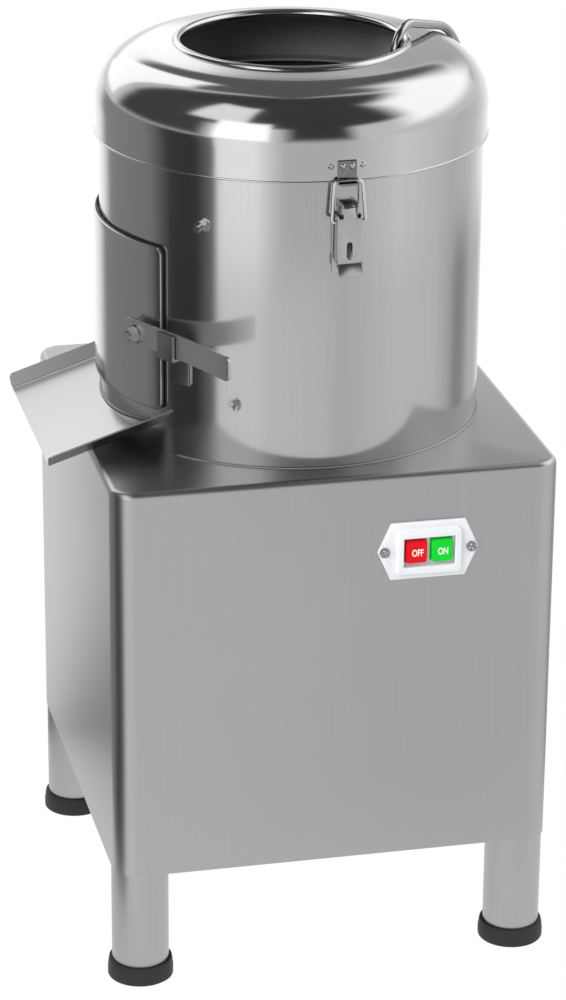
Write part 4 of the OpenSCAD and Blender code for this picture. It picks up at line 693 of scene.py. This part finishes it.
# Foot caps: a turned cup with a soft rim, its wall pushed in and out by small waves
def makeFeet(f):
    r, h, bore, sole = f["outer"], f["high"], f["bore"], f["soleR"]
    outline = np.concatenate([
        [(0.0, 0.0), (r * 0.5, 0.0), (r - 4, 0.0)], arc(r - sole, sole, sole, -90, 0, 6),
        [(r, 4.0), (r, 6.0), (r, f["floor"] + 3.0), (r - f["taper"][0], h - f["taper"][1])],
        arc(r - f["rimIn"], h - f["rimR"], f["rimR"], 10, 90, 6),
        [(bore + f["bevel"][0], h), (bore, h - f["bevel"][1]), (bore, f["floor"]), (0.0, f["floor"])],
    ])
    shells = []
    for k, (sx, sy) in enumerate(((-1, -1), (1, -1), (1, 1), (-1, 1))):
        points, faces = turned(outline, f["steps"])
        x, y, z = np.moveaxis(points, -1, 0)
        az = np.arctan2(y, x)
        waves = ripple(np.cos(az) * 2.5 + z / 12, np.sin(az) * 2.5, 20 + k)
        push = np.where(np.hypot(x, y) > bore + 1, 1 + waves * f["uneven"] / r, 1)
        shells.append((np.stack([x * push + sx * f["at"], y * push + sy * f["at"], z], -1), faces))
    points, faces = joined(*shells)
    newPiece("footCaps", points, faces, "footRubber", "frame", "foot_caps", angle=50, merge=0.002)


pipeForm = {"radius": 4.0, "heading": 45.0, "offset": 80.0, "bend": 23.0, "rise": 9.0, "sweep": 57.0,
            "sweepZ": 758.5, "drop": 36.0, "lipTop": 817.0, "low": 730.6, "openingR": 97.5, "gap": 2.6,
            "outR": 180.1, "sides": 28}


# Water pipe: up from inside the opening, over the lip on a tight arc, down the dome on a wide one, with a
# straight line that touches both between them
def makePipe(f):
    inS = math.sqrt((f["openingR"] - f["radius"] - f["gap"]) ** 2 - f["offset"] ** 2)
    outS = math.sqrt(f["outR"] ** 2 - f["offset"] ** 2)
    bendS, bendZ = inS + f["bend"], f["lipTop"] + f["rise"] - f["bend"]
    sweepS = outS - f["sweep"]
    apart = math.hypot(sweepS - bendS, f["sweepZ"] - bendZ)
    heading = math.atan2(f["sweepZ"] - bendZ, sweepS - bendS)
    turn = math.degrees(math.acos((f["bend"] - f["sweep"]) / apart) + heading)
    flat = np.concatenate([
        [(inS, z) for z in np.linspace(f["lipTop"] - f["drop"], bendZ - 2, 6)],
        arc(bendS, bendZ, f["bend"], 180, turn, 26),
        arc(sweepS, f["sweepZ"], f["sweep"], turn, 0, 26),
        [(outS, z) for z in np.linspace(f["sweepZ"] - 3, f["low"], 6)],
    ])
    path = facing(np.c_[flat[:, 0], np.full(len(flat), -f["offset"]), flat[:, 1]], f["heading"])
    points, faces = tube(path, f["radius"], f["sides"])
    newPiece("waterPipe", points, faces, "pipeSteel", "lid", "water_pipe", angle=50)


bailForm = {"az": -87.3, "radius": 1.6, "hinge": (181.0, 702.0), "bar": 737.0, "wide": 15.0, "narrow": 12.8,
            "shoulder": 3.0, "inside": 8.0, "corner": 2.2, "upper": 178.5, "sides": 16}


# Bail: a wire path up one side, across under the keeper's hook and down again, its corners made round
def makeBails(f):
    u, low = f["hinge"]
    side = [(u, f["inside"], low), (u, f["wide"], low), (f["upper"], f["narrow"], f["bar"] - f["shoulder"]),
            (f["upper"], f["narrow"] - f["shoulder"], f["bar"])]
    path = rounded(side + [(x, -y, z) for x, y, z in side[::-1]], f["corner"])
    for name, az in (("front", f["az"]), ("rear", f["az"] + 180)):
        points, faces = tube(facing(path, az), f["radius"], f["sides"])
        body = "latch_bail_" + name
        newPiece("bail_" + name, points, faces, "wireSteel", body, body, angle=50)


weldForm = {"radius": 1.15, "drop": 1.7, "swell": 0.22, "uneven": 0.14, "chuteIn": 3.0, "chuteOut": 0.2,
            "chuteUp": 0.7, "ringHalf": 138.0, "ringR": 0.9775, "ringOut": 0.5, "ringUp": 0.3,
            "catchAz": -136.5, "catchHalf": 3.62, "catchZ": (545.0, 572.0), "catchR": 0.9, "catchOut": 0.4}


# Welds: beads along the chute's cut, round the drum's foot, and up both sides of the door catch
def makeWelds(f, chute, drum):
    half = chute["wide"] / 2 - f["chuteIn"]
    y = np.linspace(-half, half, 90)
    x = -np.sqrt((chute["drumR"] + f["chuteOut"]) ** 2 - y ** 2)
    z = chute["drop"] + (x + chute["reach"]) * math.tan(math.radians(chute["slope"])) + f["chuteUp"]
    az = np.radians(np.linspace(-f["ringHalf"], f["ringHalf"], 300))
    ring = polar(az, drum["outer"] + f["ringOut"], drum["low"] + f["ringUp"])
    shells = [weldBead(np.stack([x, y, z], 1), f["radius"], f, 3), weldBead(ring, f["ringR"], f, 4)]
    z = np.linspace(*f["catchZ"], 12)
    for turn in (-f["catchHalf"], f["catchHalf"]):
        line = polar(math.radians(f["catchAz"] + turn), drum["outer"] + f["catchOut"], z)
        shells.append(weldBead(line, f["catchR"], f, 5))
    points, faces = joined(*shells)
    newPiece("weldBeads", points, faces, "weldMetal", "frame", angle=70)


buttonForm = {"size": (19.0, 20.4), "corner": 2.0, "edge": 1.1, "deep": 27.8, "from": -20.0, "dish": 0.25,
              "at": (79.0, 404.8), "gap": 23.0, "front": -200.0}


# Buttons: soft blocks; the dish in the face is deepest in its middle and gets shallower with the square of
# the distance from it, each way
def makeButtons(f):
    wide, high = f["size"]
    for name, side, finish in (("off", -1, "redPlastic"), ("on", 1, "greenPlastic")):
        points, faces = softPlate(roundRect(wide, high, f["corner"], (6, 6)), f["deep"], f["edge"], 8)
        x, y, h = points.T
        inside = np.clip(1 - (x / (wide / 2)) ** 2, 0, 1) * np.clip(1 - (y / (high / 2)) ** 2, 0, 1)
        h = h - np.where(h > f["deep"] - 0.01, inside * f["dish"], 0)
        acrossX = f["at"][0] + side * f["gap"] / 2 + x
        points = np.stack([acrossX, f["front"] - (f["from"] + h), f["at"][1] + y], 1)
        body = "button_" + name
        newPiece(body + "_cap", points, faces, finish, body, body, angle=40)


screwForm = {"at": 39.3, "radius": 4.5, "high": 2.5, "domeDrop": 1.1, "rimDrop": 1.6, "slot": 0.8,
             "slotLong": 3.1, "slotTurn": (0.94, 0.34), "deep": 0.7, "front": -203.0, "steps": 120}


# Screw heads of the switch plate: a turned dome that drops with the square of the radius, with a cross
# pressed in, whose own turn is given as a cosine and a sine; the faces in the cross are black, painted shade
# in the recess
def makeScrewHeads(f, button):
    r = np.linspace(0, f["radius"], 26)[::-1]
    dome = np.c_[r, f["high"] - f["domeDrop"] * (r / f["radius"]) ** 2]
    rim = [(0.0, 0.0), (f["radius"], 0.0), (f["radius"], f["high"] - f["rimDrop"])]
    outline = np.concatenate([rim, dome])
    c, s = f["slotTurn"]
    shells, marked = [], []
    for side in (-1, 1):
        points, faces = turned(outline, f["steps"])
        x, y, h = points.reshape(-1, 3).T
        a, b = abs(x * c + y * s), abs(y * c - x * s)
        cross = (np.minimum(a, b) < f["slot"]) & (np.maximum(a, b) < f["slotLong"]) & (h > 1)
        h = h - np.where(cross, f["deep"], 0)
        at = button["at"][0] + side * f["at"]
        shells.append((np.stack([at + x, f["front"] - h, button["at"][1] + y], 1), faces))
        marked.append(cross[faces].all(1))
    points, faces = joined(*shells)
    obj = newPiece("switchScrews", points, faces, "catchSteelPaintedShade", "frame", angle=40)
    # painted shade: the faces inside the pressed-in cross get the black rubber finish
    finishInside(obj, np.concatenate(marked), "sealRubber")


letterForm = {"size": 8.8, "squeeze": 0.68, "bold": 0.16, "deep": 0.25, "lift": 0.12, "shift": (0.9, -1.0)}


# Letters: Blender's own font as a thin solid, turned to stand on the button's face
def makeLetters(f, button):
    for name, word, side in (("off", "OFF", -1), ("on", "ON", 1)):
        curve = bpy.data.curves.new("letters_" + name, "FONT")
        curve.body, curve.size, curve.align_x, curve.align_y = word, f["size"], "CENTER", "CENTER"
        curve.extrude, curve.offset = f["deep"] / 2, f["bold"]
        flatWord = bpy.data.objects.new("letters_" + name, curve)
        scene.collection.objects.link(flatWord)
        mesh = bpy.data.meshes.new_from_object(flatWord)
        bpy.data.objects.remove(flatWord)
        places = np.zeros(len(mesh.vertices) * 3)
        mesh.vertices.foreach_get("co", places)
        x, y, h = places.reshape(-1, 3).T
        face = button["front"] - (button["from"] + button["deep"] - button["dish"] + f["lift"])
        middle = button["at"][0] + side * button["gap"] / 2
        points = np.stack([middle + x * f["squeeze"] + f["shift"][0], face - h,
                           button["at"][1] + y + f["shift"][1]], 1)
        faces = [list(polygon.vertices) for polygon in mesh.polygons]
        newPiece("word_" + name, points, faces, "letterWhite", "button_" + name, angle=30)


makeLid(lidForm)
makeDrum(drumForm)
makeLiner(linerForm, drumForm)
makeDisc(discForm)
print("lid, drum, liner and disc made")
makeDoor(doorForm)
makeLever(leverForm)
makeChute(chuteForm)
makeFeet(footForm)
makePipe(pipeForm)
makeBails(bailForm)
print("door, lever, chute, feet, pipe and bails made")
makeWelds(weldForm, chuteForm, drumForm)
makeButtons(buttonForm)
makeScrewHeads(screwForm, buttonForm)
makeLetters(letterForm, buttonForm)
print("welds, buttons and letters made")

studio = {
    "floorSize": 40.0,
    "floorTint": (0.86, 0.86, 0.86, 1.0),
    "skyTint": (0.9, 0.92, 0.95, 1.0),
    "lit": 0.55,              # the world's strength as a light
    "aim": (0.0, 0.0, 0.5),   # what the lamps look at
    # name: place, power, size
    "lamps": {"keyLamp": ((-2.2, -2.6, 2.6), 60.0, 1.6), "fillLamp": ((2.8, -1.8, 1.8), 25.0, 1.6),
              "topLamp": ((0.3, 0.6, 3.2), 45.0, 2.2), "wellLamp": ((-2.8, -0.6, 1.8), 50.0, 0.5)},
    "ringReach": 0.95, "ringApron": 0.42, "ringFoot": 0.003, "ringChange": (0.36, 0.44), "ringTop": 0.79,
    # azimuth in degrees and strength: of the ring's lower part, which the steel sees below the level,
    # and of its upper part
    "ring": ((-263, 1.3), (-243, 1.25), (-237, 0.95), (-230, 0.36), (-188, 0.34), (-178, 0.17),
             (-172, 0.06), (-155, 0.05), (-149, 0.17), (-144.5, 0.22), (-142.5, 1.1), (-122, 1.12),
             (-113, 1.0), (-84, 0.94), (-74, 0.82), (-60, 0.90), (-40, 1.0), (-14, 0.96), (0, 0.72),
             (8, 0.42), (16, 0.46), (26, 0.75), (40, 0.70), (60, 1.1), (97, 1.1)),
    "rim": ((-263, 1.3), (-243, 1.25), (-237, 0.95), (-230, 0.40), (-188, 0.34), (-178, 0.17),
            (-172, 0.07), (-155, 0.06), (-149, 0.17), (-144.5, 0.25), (-142.5, 1.5), (-122, 1.5),
            (-112, 1.05), (-106, 0.82), (-78, 0.80), (-62, 0.95), (-40, 1.15), (0, 0.85), (20, 0.9),
            (40, 1.15), (97, 1.15)),
    "domeUp": 0.79,           # height of the domes' centre
    # name: azimuth from and to, elevation from and to, reach, strength, softness
    "domes": {
        "ceilingRear": (20, 134, 25, 90, 3.2, 0.17, 0.05),
        "ceilingFront": (134, 380, 25, 90, 3.25, 0.075, 0.05),
        "horizonRear": (77, 124, 8, 25, 3.3, 1.7, 0.1),
        "horizonRight": (36, 80, 6, 25, 3.35, 0.62, 0.12),
        "boxRight": (-44, 58, 6, 64, 2.6, 1.9, 0.25),
        "boxRearLeft": (100, 132, 4, 58, 2.6, 1.9, 0.08),
        "stripFront": (-150, -113, 0, 36, 2.6, 2.2, 0.12),
        "stripHigh": (-172, -128, 30, 64, 2.65, 1.4, 0.12),
        "shadeFront": (-112, -62, -5, 60, 2.8, 0.07, 0.25),
        "shadeLeft": (134, 212, -2, 60, 2.8, 0.09, 0.15),
    },
}


# Square area lamp that lights the object and isn't seen, itself or in the steel
def addLamp(name, place, power, size):
    data = bpy.data.lights.new(name, "AREA")
    data.shape, data.size, data.size_y = "RECTANGLE", size, size
    data.energy = power
    lamp = bpy.data.objects.new(name, data)
    lamp.location = place
    lamp.rotation_mode = "QUATERNION"
    lamp.rotation_quaternion = (Vector(studio["aim"]) - Vector(place)).to_track_quat("-Z", "Y")
    lamp.visible_camera = lamp.visible_glossy = False
    scene.collection.objects.link(lamp)


# One shader for the camera, reflections and what is seen through glass, another as a light
def makeWhiteSurround(tree, shaderOut, lit, seen):
    path = tree.nodes.new("ShaderNodeLightPath")
    anySeen = mathNode(tree, "MAXIMUM", path.outputs["Is Camera Ray"], path.outputs["Is Glossy Ray"])
    anySeen = mathNode(tree, "MAXIMUM", anySeen, path.outputs["Is Transmission Ray"])
    mix = tree.nodes.new("ShaderNodeMixShader")
    tree.links.new(anySeen, mix.inputs["Fac"])
    tree.links.new(lit, mix.inputs[1])
    tree.links.new(seen, mix.inputs[2])
    tree.links.new(mix.outputs[0], shaderOut)


def makeWorld():
    world = bpy.data.worlds.new("paleStudio")
    scene.world = world
    world.use_nodes = True
    tree = world.node_tree
    tree.nodes.clear()
    out = tree.nodes.new("ShaderNodeOutputWorld")
    lit, seen = tree.nodes.new("ShaderNodeBackground"), tree.nodes.new("ShaderNodeBackground")
    lit.inputs["Color"].default_value = studio["skyTint"]
    lit.inputs["Strength"].default_value = studio["lit"]
    seen.inputs["Color"].default_value = (1.0, 1.0, 1.0, 1.0)
    makeWhiteSurround(tree, out.inputs["Surface"], lit.outputs[0], seen.outputs[0])


# Floor: one square of paper that is pure white to the camera
def makeFloor():
    half = studio["floorSize"] / 2
    mesh = bpy.data.meshes.new("studioFloor")
    corners = [(-half, -half, 0), (half, -half, 0), (half, half, 0), (-half, half, 0)]
    mesh.from_pydata(corners, [], [(0, 1, 2, 3)])
    floor = bpy.data.objects.new("studioFloor", mesh)
    scene.collection.objects.link(floor)
    mat = bpy.data.materials.new("floorPaper")
    mat.use_nodes = True
    tree = mat.node_tree
    paper = tree.nodes["Principled BSDF"]
    paper.inputs["Base Color"].default_value = studio["floorTint"]
    paper.inputs["Roughness"].default_value = 0.9
    glow = tree.nodes.new("ShaderNodeEmission")
    glow.inputs["Strength"].default_value = 1.0
    surface = tree.nodes["Material Output"].inputs["Surface"]
    makeWhiteSurround(tree, surface, paper.outputs[0], glow.outputs[0])
    mesh.materials.append(mat)


# A card from a grid of points that only shows in reflections; each point has its own glow,
# and its cover fades to nothing at soft edges
def addCard(name, points, glow, cover):
    nu, nv = points.shape[:2]
    mesh = bpy.data.meshes.new(name)
    mesh.from_pydata(points.reshape(-1, 3).tolist(), [], gridFaces(nu, nv).tolist())
    for word, values in (("glow", glow), ("cover", cover)):
        layer = mesh.attributes.new(word, "FLOAT", "POINT")
        layer.data.foreach_set("value", np.broadcast_to(values, (nu, nv)).ravel())
    card = bpy.data.objects.new(name, mesh)
    scene.collection.objects.link(card)
    mat = bpy.data.materials.new(name)
    mat.use_nodes = True
    tree = mat.node_tree
    tree.nodes.clear()
    out, shine = tree.nodes.new("ShaderNodeOutputMaterial"), tree.nodes.new("ShaderNodeEmission")
    clear, mix = tree.nodes.new("ShaderNodeBsdfTransparent"), tree.nodes.new("ShaderNodeMixShader")
    for word, socket in (("glow", shine.inputs["Strength"]), ("cover", mix.inputs["Fac"])):
        read = tree.nodes.new("ShaderNodeAttribute")
        read.attribute_name = word
        tree.links.new(read.outputs["Fac"], socket)
    tree.links.new(clear.outputs[0], mix.inputs[1])
    tree.links.new(shine.outputs[0], mix.inputs[2])
    tree.links.new(mix.outputs[0], out.inputs["Surface"])
    mesh.materials.append(mat)
    card.visible_camera = card.visible_diffuse = card.visible_shadow = False


# A ring that stands round the object, with an apron on the floor; its glow follows the azimuth and goes over
# from the lower strengths to the upper ones between two heights
def reflectorRing(s):
    az = np.arange(-263, 97.1, 1.0)[:, None]
    below, above = (np.interp(az, *np.array(s[word], float).T) for word in ("ring", "rim"))
    r = np.array([[s["ringApron"]] + [s["ringReach"]] * 4])
    z = np.array([[s["ringFoot"], s["ringFoot"], *s["ringChange"], s["ringTop"]]])
    glow = np.hstack([below, below, below, above, above])
    addCard("reflectorRing", polar(np.radians(az), r, z), glow, 1.0)


# Part of a sphere about the lid; its cover rises from the edges by a smooth step, and there is no upper edge
# where it closes overhead
def domeCard(name, azFrom, azTo, upFrom, upTo, reach, strength, soft):
    u, v = np.linspace(0, 1, 61)[:, None], np.linspace(0, 1, 31)[None, :]
    az, up = np.radians(azFrom + (azTo - azFrom) * u), np.radians(upFrom + (upTo - upFrom) * v)
    edge = np.minimum(np.minimum(u, 1 - u), np.minimum(v, 1 - v) if upTo < 90 else v)
    cover = np.clip(edge / soft, 0, 1)
    cover = cover * cover * (3 - 2 * cover)
    points = polar(az, np.cos(up) * reach, np.sin(up) * reach + studio["domeUp"])
    addCard(name, points, strength, cover)


makeWorld()
makeFloor()
for name, setup in studio["lamps"].items():
    addLamp(name, *setup)
reflectorRing(studio)
for name, setup in studio["domes"].items():
    domeCard(name, *setup)
print("studio lit")
